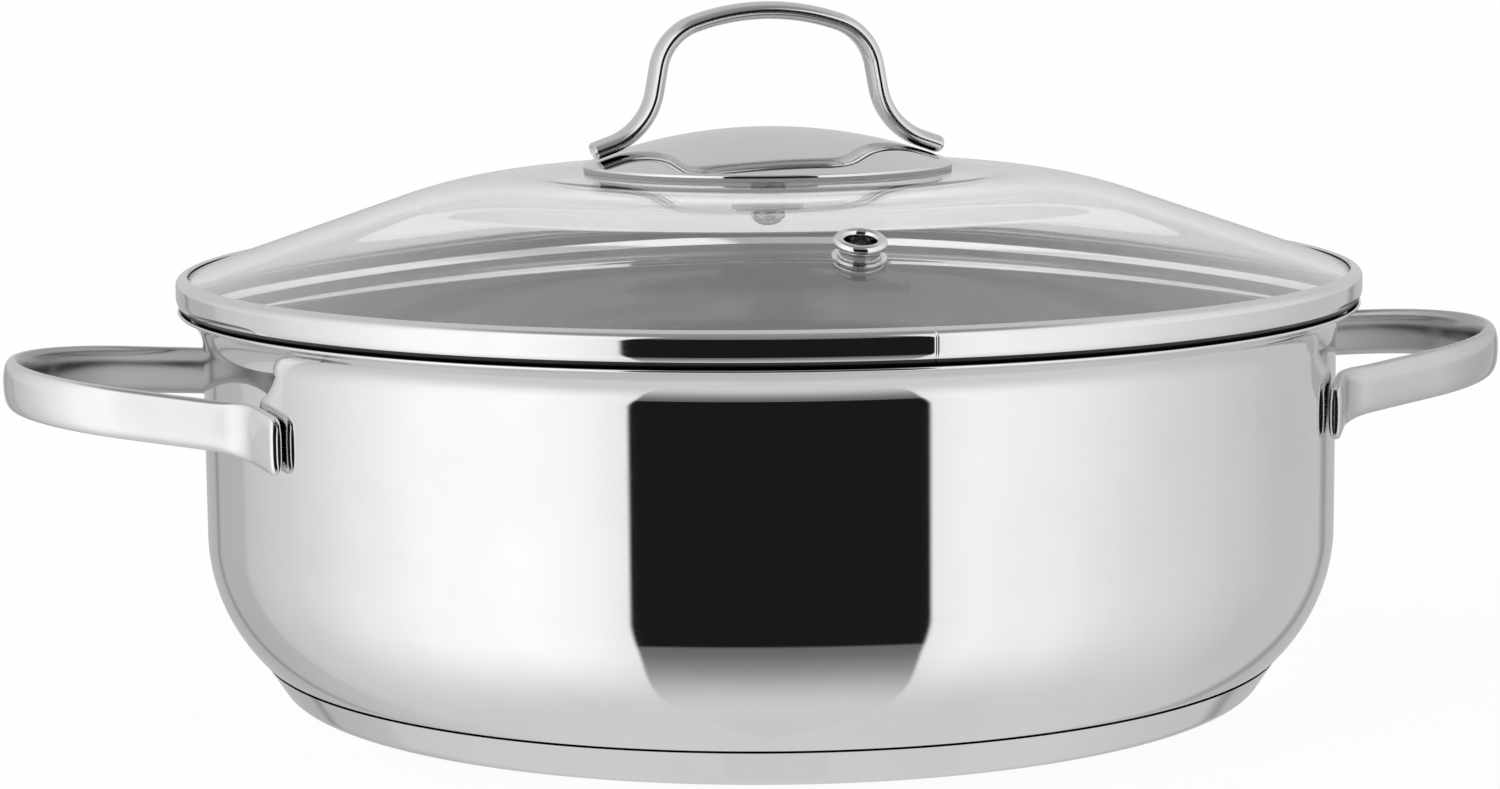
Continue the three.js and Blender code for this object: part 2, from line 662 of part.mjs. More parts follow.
const lid = new THREE.Group();
lid.add(
  piece('lid_glass', lidGlass(), 'glass'),
  piece('lid_band', lidBand(), 'mirrorSteel'),
  vent,
  loop,
  piece('lid_handle_disc', handleDisc(), 'mirrorSteel'),
  piece('disc_gasket', discGasket(), 'silicone'),
  piece('disc_stud', discStud(), 'satinSteel'),
  piece('hole_bush', holeBush(), 'silicone'),
  piece('clamp_washer', washer, 'satinSteel'),
  piece('domed_nut', domedNut(), 'mirrorSteel'),
);

const cookingPot = new THREE.Group();
cookingPot.name = 'cooking_pot_with_lid';
cookingPot.add(pot, lid);

export default cookingPot;
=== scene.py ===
"""Looks of a low stainless steel cooking pot with a glass lid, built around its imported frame.

Sizes in the classes are millimetres, as in the part's own source, and meshes are made in metres.
"""

import logging
import math
from dataclasses import dataclass
from enum import Enum
from functools import cache

import bpy
import numpy as np
from mathutils import Matrix


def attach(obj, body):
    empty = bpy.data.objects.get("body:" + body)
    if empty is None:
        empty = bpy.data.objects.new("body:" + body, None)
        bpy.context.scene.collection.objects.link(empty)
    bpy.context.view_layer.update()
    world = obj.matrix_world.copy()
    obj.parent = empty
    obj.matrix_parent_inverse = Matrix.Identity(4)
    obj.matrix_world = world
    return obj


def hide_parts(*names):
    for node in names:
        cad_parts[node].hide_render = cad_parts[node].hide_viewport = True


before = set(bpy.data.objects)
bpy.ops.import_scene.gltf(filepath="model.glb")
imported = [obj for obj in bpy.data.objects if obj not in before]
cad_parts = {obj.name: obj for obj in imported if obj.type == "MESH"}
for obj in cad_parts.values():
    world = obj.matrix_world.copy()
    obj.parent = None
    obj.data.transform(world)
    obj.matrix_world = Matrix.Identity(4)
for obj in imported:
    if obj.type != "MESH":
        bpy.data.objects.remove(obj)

Array = np.ndarray
Material = bpy.types.Material
Node = bpy.types.Node
Piece = bpy.types.Object
Socket = bpy.types.NodeSocket

MM = 0.001
DEG = math.pi / 180
QUARTER = math.pi / 2
FULL = 2 * math.pi
SEAT_GAP = 0.3
STRAP_COLUMNS = 72
END_RINGS = np.array((0.9, 0.5, 0.0))[:, None]
SHARP_ANGLE = 38 * DEG
POLE_SPAN = 1e-6
ANGLE_DIGITS = 7
INNER_SHADE = "painted_inner_shade"
NOISE_ROUGHNESS = 0.6
WHITE = (1.0, 1.0, 1.0, 1.0)
LOG = logging.getLogger("cooking_pot")


class Body(Enum):
    """Moving bodies of the part."""

    POT = "pot"
    LID = "lid"


class Slot(Enum):
    """Finish slots of the part's record."""

    POLISHED = "polished_steel"
    HANDLE = "handle_steel"
    PLAIN = "plain_steel"
    GLASS = "clear_glass"
    SILICONE = "silicone"


class Grain(Enum):
    """Way of the polishing lines: round the upright axis, or the scale of noise on each axis."""

    ROUND = None
    LEVEL = (0.03, 0.03, 1)
    LOOP = (0.03, 1, 0.03)


# Plane curves and closed skins


def radians(*angles: float) -> tuple:
    """Angles in radians."""
    return tuple(angle * DEG for angle in angles)


def even_turn(columns: int) -> Array:
    """Even angles of a full turn."""
    return np.arange(columns) * (FULL / columns)


ROUND_TURN = even_turn(288)
SMALL_TURN = even_turn(96)


def arc(centre: Array, radius: float, start: float, end: float, steps: int) -> Array:
    """Points of an arc: the centre plus the radius times the cosine and sine of even angles."""
    angle = np.linspace(start, end, steps + 1)
    return np.asarray(centre) + radius * np.column_stack((np.cos(angle), np.sin(angle)))


def line(start: Array, end: Array, steps: int) -> Array:
    """Points spaced evenly from one point to another."""
    return np.linspace(np.asarray(start, float), np.asarray(end, float), steps + 1)


def along(point: Array, distance: float, angle: float) -> Array:
    """The point at a distance from another one, in a direction in radians."""
    return np.asarray(point, float) + distance * np.array((math.cos(angle), math.sin(angle)))


def chain(*runs: Array) -> Array:
    """Runs of points in one row, without the points that repeat the one before."""
    points = np.vstack([np.atleast_2d(run) for run in runs])
    return points[np.r_[True, np.linalg.norm(np.diff(points, axis=0), axis=1) > POLE_SPAN]]


def line_to_circle(point: Array, angle: float, centre: Array, radius: float) -> Array:
    """Where a line from outside a circle first meets it, by the quadratic in the distance run.

    Args:
        point: Start of the line.
        angle: Direction of the line in radians.
        centre: Middle of the circle.
        radius: Radius of the circle.

    Returns:
        The meeting point.
    """
    offset = np.asarray(point, float) - np.asarray(centre, float)
    half = float(offset @ along((0, 0), 1, angle))
    return along(point, -half - math.sqrt(half**2 - float(offset @ offset) + radius**2), angle)


def outer_edge(radius: float, low: float, high: float, edge: float, steps: int) -> Array:
    """Outer side of a disc, upwards, whose two edges are quarter circles."""
    foot = arc((radius - edge, low + edge), edge, -QUARTER, 0, steps)
    return chain(foot, arc((radius - edge, high - edge), edge, 0, QUARTER, steps))


def inner_edge(radius: float, low: float, high: float, edge: float, steps: int) -> Array:
    """Inner side of a ring, downwards, whose two edges are quarter circles."""
    top = arc((radius + edge, high - edge), edge, QUARTER, math.pi, steps)
    return chain(top, arc((radius + edge, low + edge), edge, math.pi, 3 * QUARTER, steps))


def rounded_ring(inner: float, outer: float, low: float, high: float, edge: float) -> Array:
    """Section of a flat ring: a rectangle whose four corners are quarter circles."""
    outside = outer_edge(outer, low, high, edge, steps=5)
    return chain(outside, inner_edge(inner, low, high, edge, steps=5))


@dataclass(frozen=True)
class Skin:
    """Closed skin in millimetres: its points, quads and triangles."""

    points: Array
    quads: Array
    triangles: Array

    def placed(self, matrix: Array) -> "Skin":
        """The skin moved by a 4 by 4 matrix in millimetres."""
        return Skin(self.points @ matrix[:3, :3].T + matrix[:3, 3], self.quads, self.triangles)


def grid_skin(rings: Array, wrap_rows: bool = False) -> Skin:
    """Skin over a grid of points whose columns always close on themselves.

    A quad joins each point to the next column and the next row. A row of equal points is a pole
    and gives triangles. The skin is turned outwards by the sign of its volume.

    Args:
        rings: Rows by columns by three coordinates.
        wrap_rows: Whether the last row joins the first.

    Returns:
        The closed skin.
    """
    rows, columns, _ = rings.shape
    index = np.arange(rows * columns).reshape(rows, columns)
    poles = np.ptp(rings, axis=1).max(axis=1) < POLE_SPAN
    index[poles] = index[poles][:, :1]
    low = index if wrap_rows else index[:-1]
    high = np.roll(index, -1, axis=0) if wrap_rows else index[1:]
    corners = (low, np.roll(low, -1, axis=1), np.roll(high, -1, axis=1), high)
    quads = np.stack(corners, axis=-1).reshape(-1, 4)
    low_pole = quads[:, 0] == quads[:, 1]
    high_pole = quads[:, 2] == quads[:, 3]
    triangles = np.vstack((quads[low_pole][:, [0, 2, 3]], quads[high_pole][:, [0, 1, 2]]))
    quads = quads[~(low_pole | high_pole)]
    flat = np.concatenate((quads.ravel(), triangles.ravel()))
    used, place = np.unique(flat, return_inverse=True)
    points = rings.reshape(-1, 3)[used]
    quads, triangles = place[: quads.size].reshape(-1, 4), place[quads.size:].reshape(-1, 3)
    halves = np.vstack((quads[:, [0, 1, 2]], quads[:, [0, 2, 3]], triangles))
    first, second, third = (points[halves[:, i]] for i in range(3))
    if np.einsum("ij,ij->", first, np.cross(second, third)) < 0:
        quads, triangles = quads[:, ::-1], triangles[:, ::-1]
    return Skin(points, quads, triangles)


def revolve(
    profile: Array, turn: Array = ROUND_TURN, ring: bool = False, limit: Array | float = math.inf
) -> Skin:
    """A profile of radius and height turned about Z: x = r cos a, y = r sin a, z = height.

    Args:
        profile: Radius and height in each row.
        turn: Angle of each column.
        ring: Whether the profile closes on itself and never meets the axis.
        limit: Largest radius, one for all columns or one for each.

    Returns:
        The turned skin.
    """
    radius, height = np.minimum(profile[:, :1], limit), profile[:, 1:]
    sides = (radius * np.cos(turn), radius * np.sin(turn), height + 0 * turn)
    return grid_skin(np.stack(sides, axis=-1), wrap_rows=ring)


@dataclass
class PlanePath:
    """Plane path of turns and straights, kept as arrays of points and headings."""

    points: Array
    headings: Array

    @classmethod
    def begin(cls, point: Array, heading: float) -> "PlanePath":
        """A path of one point that faces a heading."""
        return cls(np.atleast_2d(np.asarray(point, float)), np.array([heading]))

    def extend(self, points: Array, headings: Array) -> "PlanePath":
        """Goes on through more points.

        Args:
            points: Points to add.
            headings: Heading at each of them.

        Returns:
            The path itself.
        """
        self.headings = np.r_[self.headings, headings]
        self.points = np.vstack((self.points, points))
        return self

    def turn(self, radius: float, angle: float, steps: int) -> "PlanePath":
        """Goes on along an arc: centre square to the heading, and points a radius from it.

        Args:
            radius: Radius of the arc.
            angle: Change of heading, positive to the left.
            steps: Number of equal steps.

        Returns:
            The path itself.
        """
        start, side = self.headings[-1], math.copysign(QUARTER, angle)
        centre = along(self.points[-1], radius, start + side)
        spots = arc(centre, radius, start - side, start - side + angle, steps)
        return self.extend(spots[1:], np.linspace(start, start + angle, steps + 1)[1:])

    def ahead(self, lengths: Array) -> "PlanePath":
        """Goes straight on through points at these lengths."""
        spots = self.points[-1] + lengths[:, None] * along((0, 0), 1, self.headings[-1])
        return self.extend(spots, np.full(len(lengths), self.headings[-1]))

    def straight(self, length: float, steps: int) -> "PlanePath":
        """Goes straight on in equal steps."""
        return self.ahead(np.linspace(0, length, steps + 1)[1:])

    def rounded_end(self, length: float, steps: int) -> "PlanePath":
        """Goes straight on in steps that shorten towards the end as those of a sine do."""
        return self.ahead(length * np.sin(np.linspace(0, QUARTER, steps + 1)[1:]))

    def length_left(self) -> Array:
        """Length of path after each point."""
        step = np.linalg.norm(np.diff(self.points, axis=0), axis=1)
        return np.r_[np.cumsum(step[::-1])[::-1], 0.0]


@dataclass(frozen=True)
class StrapSection:
    """Rounded strap section: a superellipse that draws in evenly at a rounded end."""

    squareness: float
    pad_squareness: float

    @staticmethod
    def shrink(length_left: Array, rounding: float) -> Array:
        """Loss of width at a rounded end: twice the fall of a quarter circle over the rounding."""
        near = np.clip(length_left / rounding, 0, 1)
        return 2 * rounding * (1 - np.sqrt(1 - (1 - near) ** 2))

    def skin(self, centre: Array, wide: Array, thick: Array, pad: Array) -> Skin:
        """Half strap and its mirror image, closed by flat ends.

        Each ring is its centre plus the width vector times the width share plus the thickness
        vector times the thickness share. The shares are the cosine and sine of even angles, each
        with its sign, to the power of two by the squareness. The mirror image changes the sign of
        the second coordinate, and each end shrinks in flat rings to a pole.

        Args:
            centre: Centre of each ring in the half, from the middle of the strap to its end.
            wide: Half width vector of each ring.
            thick: Half thickness vector of each ring.
            pad: Share of the pad's squareness in each ring, the rest being the strap's.

        Returns:
            The closed strap.
        """
        ends = len(END_RINGS)
        pad = np.r_[pad, np.repeat(pad[-1:], ends)][:, None]
        power = 2 / (self.squareness + (self.pad_squareness - self.squareness) * pad)
        angle = (np.arange(STRAP_COLUMNS) + 0.5) * (FULL / STRAP_COLUMNS)
        across, through = (
            (np.sign(wave) * np.abs(wave) ** power)[:, :, None]
            for wave in (np.cos(angle), np.sin(angle))
        )
        centre = np.vstack((centre, np.repeat(centre[-1:], ends, axis=0)))
        wide, thick = (np.vstack((side, END_RINGS * side[-1:])) for side in (wide, thick))
        half = centre[:, None] + across * wide[:, None] + through * thick[:, None]
        return grid_skin(np.vstack((half[:0:-1] * np.array((1, -1, 1)), half)))


# Finishes


@dataclass
class NodeBench:
    """Adds and joins the nodes of one tree."""

    tree: bpy.types.NodeTree

    def fill(self, node: Node, inputs: dict) -> None:
        """Links or sets inputs of a node.

        Args:
            node: Node to fill.
            inputs: Sockets or values, by the name or number of the input.
        """
        for name, value in inputs.items():
            if isinstance(value, Socket):
                self.tree.links.new(value, node.inputs[name])
            else:
                node.inputs[name].default_value = value

    def add(self, kind: str, inputs: dict | None = None, **settings: object) -> Node:
        """Adds a node.

        Args:
            kind: Type name of the node.
            inputs: Values or sockets for the node's inputs, by name or number.
            settings: Properties of the node.

        Returns:
            The node.
        """
        node = self.tree.nodes.new(kind)
        for name, value in settings.items():
            setattr(node, name, value)
        self.fill(node, inputs or {})
        return node

    def place(self, kind: str = "Object") -> Socket:
        """Coordinates of a kind."""
        return self.add("ShaderNodeTexCoord").outputs[kind]

    def math(self, operation: str, *values: object) -> Socket:
        """Result of a Math node on values or sockets."""
        return self.add("ShaderNodeMath", dict(enumerate(values)), operation=operation).outputs[0]

    def mix(self, share: Socket, first: object, second: object) -> Socket:
        """Level between two levels or sockets."""
        return self.add("ShaderNodeMix", {0: share, 2: first, 3: second}).outputs[0]

    def blend(self, share: Socket, first: object, second: object) -> Socket:
        """Colour between two colours or sockets.

        Args:
            share: Share of the second colour.
            first: Red, green and blue, or a socket.
            second: The same.

        Returns:
            Socket of the colour.
        """
        first, second = ((*end, 1) if isinstance(end, tuple) else end for end in (first, second))
        inputs = {0: share, 6: first, 7: second}
        return self.add("ShaderNodeMix", inputs, data_type="RGBA").outputs[2]

    def remap(self, value: Socket, span: tuple, result: tuple = (0, 1)) -> Socket:
        """A value moved smoothly from one range to another."""
        inputs = dict(zip(("From Min", "From Max", "To Min", "To Max"), span + result), Value=value)
        return self.add("ShaderNodeMapRange", inputs, interpolation_type="SMOOTHSTEP").outputs[0]

    def noise(self, vector: Socket, scale: float, detail: float) -> Socket:
        """Noise of a scale and detail along a vector."""
        inputs = {"Vector": vector, "Scale": scale, "Detail": detail, "Roughness": NOISE_ROUGHNESS}
        return self.add("ShaderNodeTexNoise", inputs).outputs["Fac"]

    def levels(self, angle: Socket, stops: tuple, limit: float = 180) -> Socket:
        """Level at an angle, straight between the stops of a ramp.

        Args:
            angle: Socket of the angle in radians.
            stops: Angle in degrees and level of each stop, from minus the limit to the limit.
            limit: Largest angle in degrees.

        Returns:
            Socket of the level.
        """
        share = self.math("ADD", self.math("DIVIDE", angle, 2 * limit * DEG), 0.5)
        ramp = self.add("ShaderNodeValToRGB", {0: share})
        elements = ramp.color_ramp.elements
        for number, (degrees, level) in enumerate(stops):
            spot = degrees / (2 * limit) + 0.5
            ends = {0: 0, len(stops) - 1: len(elements) - 1}
            stop = elements[ends[number]] if number in ends else elements.new(spot)
            stop.position, stop.color = spot, (level, level, level, 1)
        return self.add("ShaderNodeSeparateColor", {0: ramp.outputs[0]}).outputs[0]

    def surface(self, shader: Node, relief: tuple, inputs: dict) -> None:
        """Fills a shader and gives it a bump.

        Args:
            shader: Shader to fill.
            relief: Height socket, strength, and depth in millimetres of the bump.
            inputs: Other sockets or values for the shader.
        """
        height, strength, depth = relief
        bump = {"Height": height, "Strength": strength, "Distance": depth * MM}
        self.fill(shader, inputs | {"Normal": self.add("ShaderNodeBump", bump).outputs[0]})


def new_material(name: str) -> tuple[Material, NodeBench, Node]:
    """An empty node material with its surface shader.

    Args:
        name: Name of the material.

    Returns:
        The material, the bench for its nodes and its shader.
    """
    material = bpy.data.materials.new(name)
    material.use_nodes = True
    bench = NodeBench(material.node_tree)
    return material, bench, material.node_tree.nodes["Principled BSDF"]


@dataclass(frozen=True)
class SteelFinish:
    """Polished stainless steel with fine lines from the wheel and faint cloudy wear."""

    name: str
    colour: tuple
    worn_colour: tuple
    roughness: float
    roughness_spread: float = 0.008
    grain: Grain = Grain.ROUND
    # Painted shade: a darker colour for the faces marked as facing the hollow between a strap and
    # the pot wall.
    inner_shade_colour: tuple | None = None
    inner_roughness: float = 0.2
    metallic: float = 1.0
    line_pitch: float = 0.7
    line_detail: float = 3.0
    line_span: tuple = (0.25, 0.75)
    line_depth: float = 0.00025
    line_strength: float = 0.05
    streak: float = 0.004
    cloud_size: float = 34.0
    cloud_detail: float = 4.0
    cloud_span: tuple = (0.3, 0.8)
    cloud_gain: float = 1.5
    worn_span: tuple = (0.35, 0.75)

    def grain_vector(self, bench: NodeBench) -> Socket:
        """Coordinates that change fast across the polishing lines and slowly along them.

        Args:
            bench: Bench of the material.

        Returns:
            Socket of the coordinates.
        """
        place = bench.place()
        if self.grain is not Grain.ROUND:
            scaled = {"Vector": place, "Scale": self.grain.value}
            return bench.add("ShaderNodeMapping", scaled).outputs[0]
        axes = bench.add("ShaderNodeSeparateXYZ", {0: place}).outputs
        flat = bench.add("ShaderNodeCombineXYZ", {0: axes[0], 1: axes[1]}).outputs[0]
        radius = bench.add("ShaderNodeVectorMath", {0: flat}, operation="LENGTH").outputs[1]
        turned = bench.math("MULTIPLY", bench.math("ARCTAN2", axes[1], axes[0]), self.streak)
        return bench.add("ShaderNodeCombineXYZ", {0: radius, 1: axes[2], 2: turned}).outputs[0]

    @cache
    def material(self) -> Material:
        """Builds the steel: noise lines drive bump and roughness, and clouds drive wear.

        Returns:
            The material.
        """
        material, bench, shader = new_material(self.name)
        lines = bench.noise(self.grain_vector(bench), 1 / (self.line_pitch * MM), self.line_detail)
        clouds = bench.noise(bench.place(), 1 / (self.cloud_size * MM), self.cloud_detail)
        worn = bench.remap(clouds, self.worn_span)
        colour = bench.blend(worn, self.colour, self.worn_colour)
        spread = (-self.roughness_spread, self.roughness_spread)
        lined = bench.remap(lines, self.line_span, spread)
        rough = (self.roughness, self.roughness * self.cloud_gain)
        cloudy = bench.remap(clouds, self.cloud_span, rough)
        # Painted shade: marked faces blend to the darker inner colour.
        if self.inner_shade_colour:
            side = bench.add("ShaderNodeAttribute", attribute_name=INNER_SHADE).outputs["Fac"]
            colour = bench.blend(side, colour, self.inner_shade_colour)
            cloudy = bench.mix(side, cloudy, self.inner_roughness)
        inputs = {"Base Color": colour, "Roughness": bench.math("ADD", lined, cloudy)}
        inputs["Metallic"] = self.metallic
        bench.surface(shader, (lines, self.line_strength, self.line_depth), inputs)
        return material


@dataclass(frozen=True)
class PlainFinish:
    """Moulded, cast or glass finish: two close colours, a fine relief and faint wear."""

    name: str
    colour: tuple
    other_colour: tuple
    gloss: tuple
    metallic: float
    relief_size: float
    relief_depth: float
    relief_strength: float = 0.4
    relief_detail: float = 6.0
    worn_scale: float | None = None
    worn_detail: float = 6.0
    worn_span: tuple = (0.3, 0.7)
    index: float = 1.5
    clear: float = 0.0

    @cache
    def material(self) -> Material:
        """Builds the finish: noise drives colour and bump, and roughness where it is worn.

        Returns:
            The material.
        """
        material, bench, shader = new_material(self.name)
        place, scale = bench.place(), 1 / (self.relief_size * MM)
        relief = bench.noise(place, scale, self.relief_detail)
        worn = bench.noise(place, self.worn_scale or scale, self.worn_detail)
        inputs = {
            "Base Color": bench.blend(relief, self.colour, self.other_colour),
            "Roughness": bench.remap(worn, self.worn_span, self.gloss),
            "Metallic": self.metallic,
            "IOR": self.index,
            "Transmission Weight": self.clear,
        }
        bench.surface(shader, (relief, self.relief_strength, self.relief_depth), inputs)
        return material


class Look(Enum):
    """Every finish of the pot."""

    POLISHED = SteelFinish("mirror_steel", (0.80, 0.80, 0.805), (0.765, 0.768, 0.775), 0.032)
    # Painted shade: the pot's inside is the same steel as its outside, made darker and less
    # metallic for the shade in its hollow.
    INSIDE_SHADE = SteelFinish(
        "inner_steel_painted_shade", (0.54, 0.54, 0.545), (0.49, 0.493, 0.5), 0.03, metallic=0.78
    )
    # Painted shade: the straps' inner colour darkens the faces that look towards the pot wall.
    HANDLE = SteelFinish(
        "strap_steel", (0.765, 0.765, 0.77), (0.73, 0.733, 0.74), 0.06,
        grain=Grain.LEVEL, inner_shade_colour=(0.42, 0.42, 0.43),
    )
    # Painted shade: the right strap is the left strap's steel made darker, for the shade on that
    # side of the pot.
    RIGHT_HANDLE_SHADED = SteelFinish(
        "right_strap_steel_painted_shade", (0.6, 0.6, 0.605), (0.57, 0.573, 0.58), 0.1,
        grain=Grain.LEVEL, inner_shade_colour=(0.46, 0.46, 0.47),
    )
    LOOP = SteelFinish(
        "loop_steel", (0.72, 0.72, 0.725), (0.68, 0.683, 0.69), 0.1, 0.01, Grain.LOOP
    )
    # Painted shadow: a near-black steel on the band's lower heel stands for the shadow gap between
    # band and pot rim.
    HEEL_SHADOW = SteelFinish("heel_painted_shadow", (0.05, 0.05, 0.052), (0.04, 0.04, 0.042), 0.3, 0.04)
    PLAIN = SteelFinish("turned_steel", (0.66, 0.66, 0.67), (0.58, 0.58, 0.6), 0.22, 0.05)
    GLASS = PlainFinish(
        "clear_lid_glass", (0.985, 0.994, 0.99), (0.98, 0.99, 0.986), (0.0, 0.006), 0.0, 28.0,
        0.002, relief_strength=0.03, relief_detail=1.0, worn_scale=60.0, worn_detail=5.0,
        worn_span=(0.5, 0.8), index=1.47, clear=1.0,
    )
    GROUND_EDGE = PlainFinish(
        "ground_glass_edge", (0.78, 0.81, 0.8), (0.74, 0.77, 0.76), (0.49, 0.61), 0.0, 1.0, 0.005
    )
    SILICONE = PlainFinish(
        "clear_silicone", (0.62, 0.63, 0.62), (0.55, 0.56, 0.55), (0.44, 0.56), 0.0, 1.5, 0.02
    )
    CORE = PlainFinish(
        "cast_aluminium", (0.55, 0.55, 0.56), (0.47, 0.47, 0.48), (0.36, 0.48), 1.0, 2.5, 0.05
    )


def skin_object(name: str, points: Array, faces: list) -> Piece:
    """A new object in the scene.

    Args:
        name: Name of the object and its mesh.
        points: Points in metres.
        faces: Numbers of the points of each face.

    Returns:
        The object.
    """
    mesh = bpy.data.meshes.new(name)
    mesh.from_pydata(points.tolist(), [], faces)
    piece = bpy.data.objects.new(name, mesh)
    bpy.context.scene.collection.objects.link(piece)
    return piece


def smooth(mesh: bpy.types.Mesh) -> None:
    """Shades a mesh smooth, with sharp edges at sharp angles."""
    mesh.polygons.foreach_set("use_smooth", np.ones(len(mesh.polygons), bool))
    mesh.set_sharp_from_angle(angle=SHARP_ANGLE)


def add_piece(name: str, skin: Skin, look: Look, body: Body, slot: Slot, *nodes: str) -> Piece:
    """Makes a skin into a smooth object that rides a body in place of its nodes.

    Args:
        name: Name of the piece.
        skin: Its skin in millimetres.
        look: Its finish.
        body: Body that carries it.
        slot: Finish slot of the record; not used.
        nodes: Nodes of the part that it stands for.

    Returns:
        The object.
    """
    faces = skin.quads.tolist() + skin.triangles.tolist()
    piece = skin_object(name, skin.points * MM, faces)
    smooth(piece.data)
    piece.data.materials.append(look.value.material())
    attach(piece, body.value)
    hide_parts(*nodes)
    LOG.info("%s: %d faces on %s for %s", name, len(faces), body.value, ", ".join(nodes))
    return piece


def vectors(items: bpy.types.bpy_prop_collection, name: str) -> Array:
    """Vector of each face or point of a mesh.

    Args:
        items: Faces or points.
        name: Name of the vector.

    Returns:
        One row for each.
    """
    rows = np.zeros((len(items), 3), np.float32)
    items.foreach_get(name, rows.ravel())
    return rows.astype(float)


def face_places(piece: Piece) -> tuple[Array, Array]:
    """Radius and height of the middle of each face in millimetres."""
    spots = vectors(piece.data.polygons, "center") / MM
    return np.hypot(spots[:, 0], spots[:, 1]), spots[:, 2]


def second_finish(piece: Piece, look: Look, chosen: Array) -> None:
    """Gives the chosen faces of a piece a second finish."""
    piece.data.materials.append(look.value.material())
    piece.data.polygons.foreach_set("material_index", chosen.astype(np.int32))


# Sub-assemblies


@dataclass
class PotShell:
    """Drawn steel pot: level floor, round heel and side bend, upright wall and flared rim."""

    inner_radius: float = 140.0
    sheet: float = 0.8
    height: float = 96.4
    bend_radius: float = 43.0
    seam_z: float = 10.6
    seam_slope: float = 43.5 * DEG
    flare_radius: float = 8.5
    flare_sweep: float = 70 * DEG
    floor_z: float = 6.6

    def __post_init__(self) -> None:
        """Works out the outer radius, and the middles of side bend, heel and flare.

        The heel touches the side bend at the seam and runs level into the floor. The flare turns
        about a middle outside the wall, up to the rim's height.
        """
        sine = math.sin(self.seam_slope)
        flare_rise = (self.flare_radius + self.sheet) * math.sin(self.flare_sweep)
        self.radius: float = self.inner_radius + self.sheet
        self.rim_turn: float = math.pi - self.flare_sweep
        bend_z = self.seam_z + self.bend_radius * sine
        self.bend_centre: Array = np.array((self.radius - self.bend_radius, bend_z))
        self.heel_radius: float = (self.seam_z - self.floor_z) / (1 - sine)
        self.heel_centre: Array = along(
            self.bend_centre, self.bend_radius - self.heel_radius, -self.seam_slope
        )
        self.flare_centre: Array = np.array(
            (self.radius + self.flare_radius, self.height - flare_rise)
        )

    def face(self, inside: float) -> Array:
        """Floor to rim at a distance inside the outer face: arcs joined by straight runs.

        Args:
            inside: Distance from the outer face.

        Returns:
            Radius and height from the axis to the rim.
        """
        slope, flare_radius = -self.seam_slope, self.flare_radius + inside
        heel = arc(self.heel_centre, self.heel_radius - inside, -QUARTER, slope, steps=24)
        side = arc(self.bend_centre, self.bend_radius - inside, slope, 0, steps=48)
        flare = arc(self.flare_centre, flare_radius, math.pi, self.rim_turn, steps=32)
        floor = line((0, self.floor_z + inside), heel[0], steps=24)
        return chain(floor, heel, side, line(side[-1], flare[0], steps=24), flare)

    def build(self) -> None:
        """Builds the shell: outer face, round lip of half a circle, and inner face.

        Inside are the faces below the flare whose normal points more up than away from the axis.
        They take a darker, less metallic steel, which is painted shade in the pot's hollow.
        """
        half, rim = self.sheet / 2, self.rim_turn
        lip_centre = along(self.flare_centre, self.flare_radius + half, rim)
        lip = arc(lip_centre, half, rim - math.pi, rim, steps=10)
        skin = revolve(chain(self.face(0), lip, self.face(self.sheet)[::-1]))
        shell = add_piece("pot_shell", skin, Look.POLISHED, Body.POT, Slot.POLISHED, "pot_body")
        spots, normals = (vectors(shell.data.polygons, name) for name in ("center", "normal"))
        radius, height = face_places(shell)
        outward = (spots[:, :2] * normals[:, :2]).sum(axis=1) / MM
        # Painted shade: the faces inside the pot get the darker steel.
        shaded_inside = (normals[:, 2] * radius > outward) & (height < self.flare_centre[1])
        second_finish(shell, Look.INSIDE_SHADE, shaded_inside & (radius < self.radius - half))


@dataclass
class PotBase:
    """Steel cap pressed over the heat disc, up to the pot's heel."""

    pot: PotShell
    sheet: float = 0.8
    inset: float = 19.0
    bend_radius: float = 5.0
    lean: float = 57 * DEG

    def face(self, inside: float) -> Array:
        """Underside, bend and leaning side at a distance inside the outer face.

        Args:
            inside: Distance from the outer face.

        Returns:
            Radius and height from the axis to the seam.
        """
        corner = self.pot.radius - self.inset
        centre = (corner - self.bend_radius * math.tan(self.lean / 2), self.bend_radius)
        bend = arc(centre, self.bend_radius - inside, -QUARTER, self.lean - QUARTER, steps=20)
        foot = (corner - inside / math.sin(self.lean), 0)
        reach = self.pot.heel_radius + SEAT_GAP
        end = line_to_circle(foot, self.lean, self.pot.heel_centre, reach)
        return chain(line((0, inside), bend[0], steps=20), bend, line(bend[-1], end, steps=8))

    def build(self) -> None:
        """Builds the cap and dresses the heat disc inside it."""
        skin = revolve(chain(self.face(0), self.face(self.sheet)[::-1]))
        add_piece("base_dish", skin, Look.POLISHED, Body.POT, Slot.POLISHED, "base_cap")
        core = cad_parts["base_core"]
        core.data.materials.clear()
        core.data.materials.append(Look.CORE.value.material())
        LOG.info("base_core: dressed in cast aluminium")


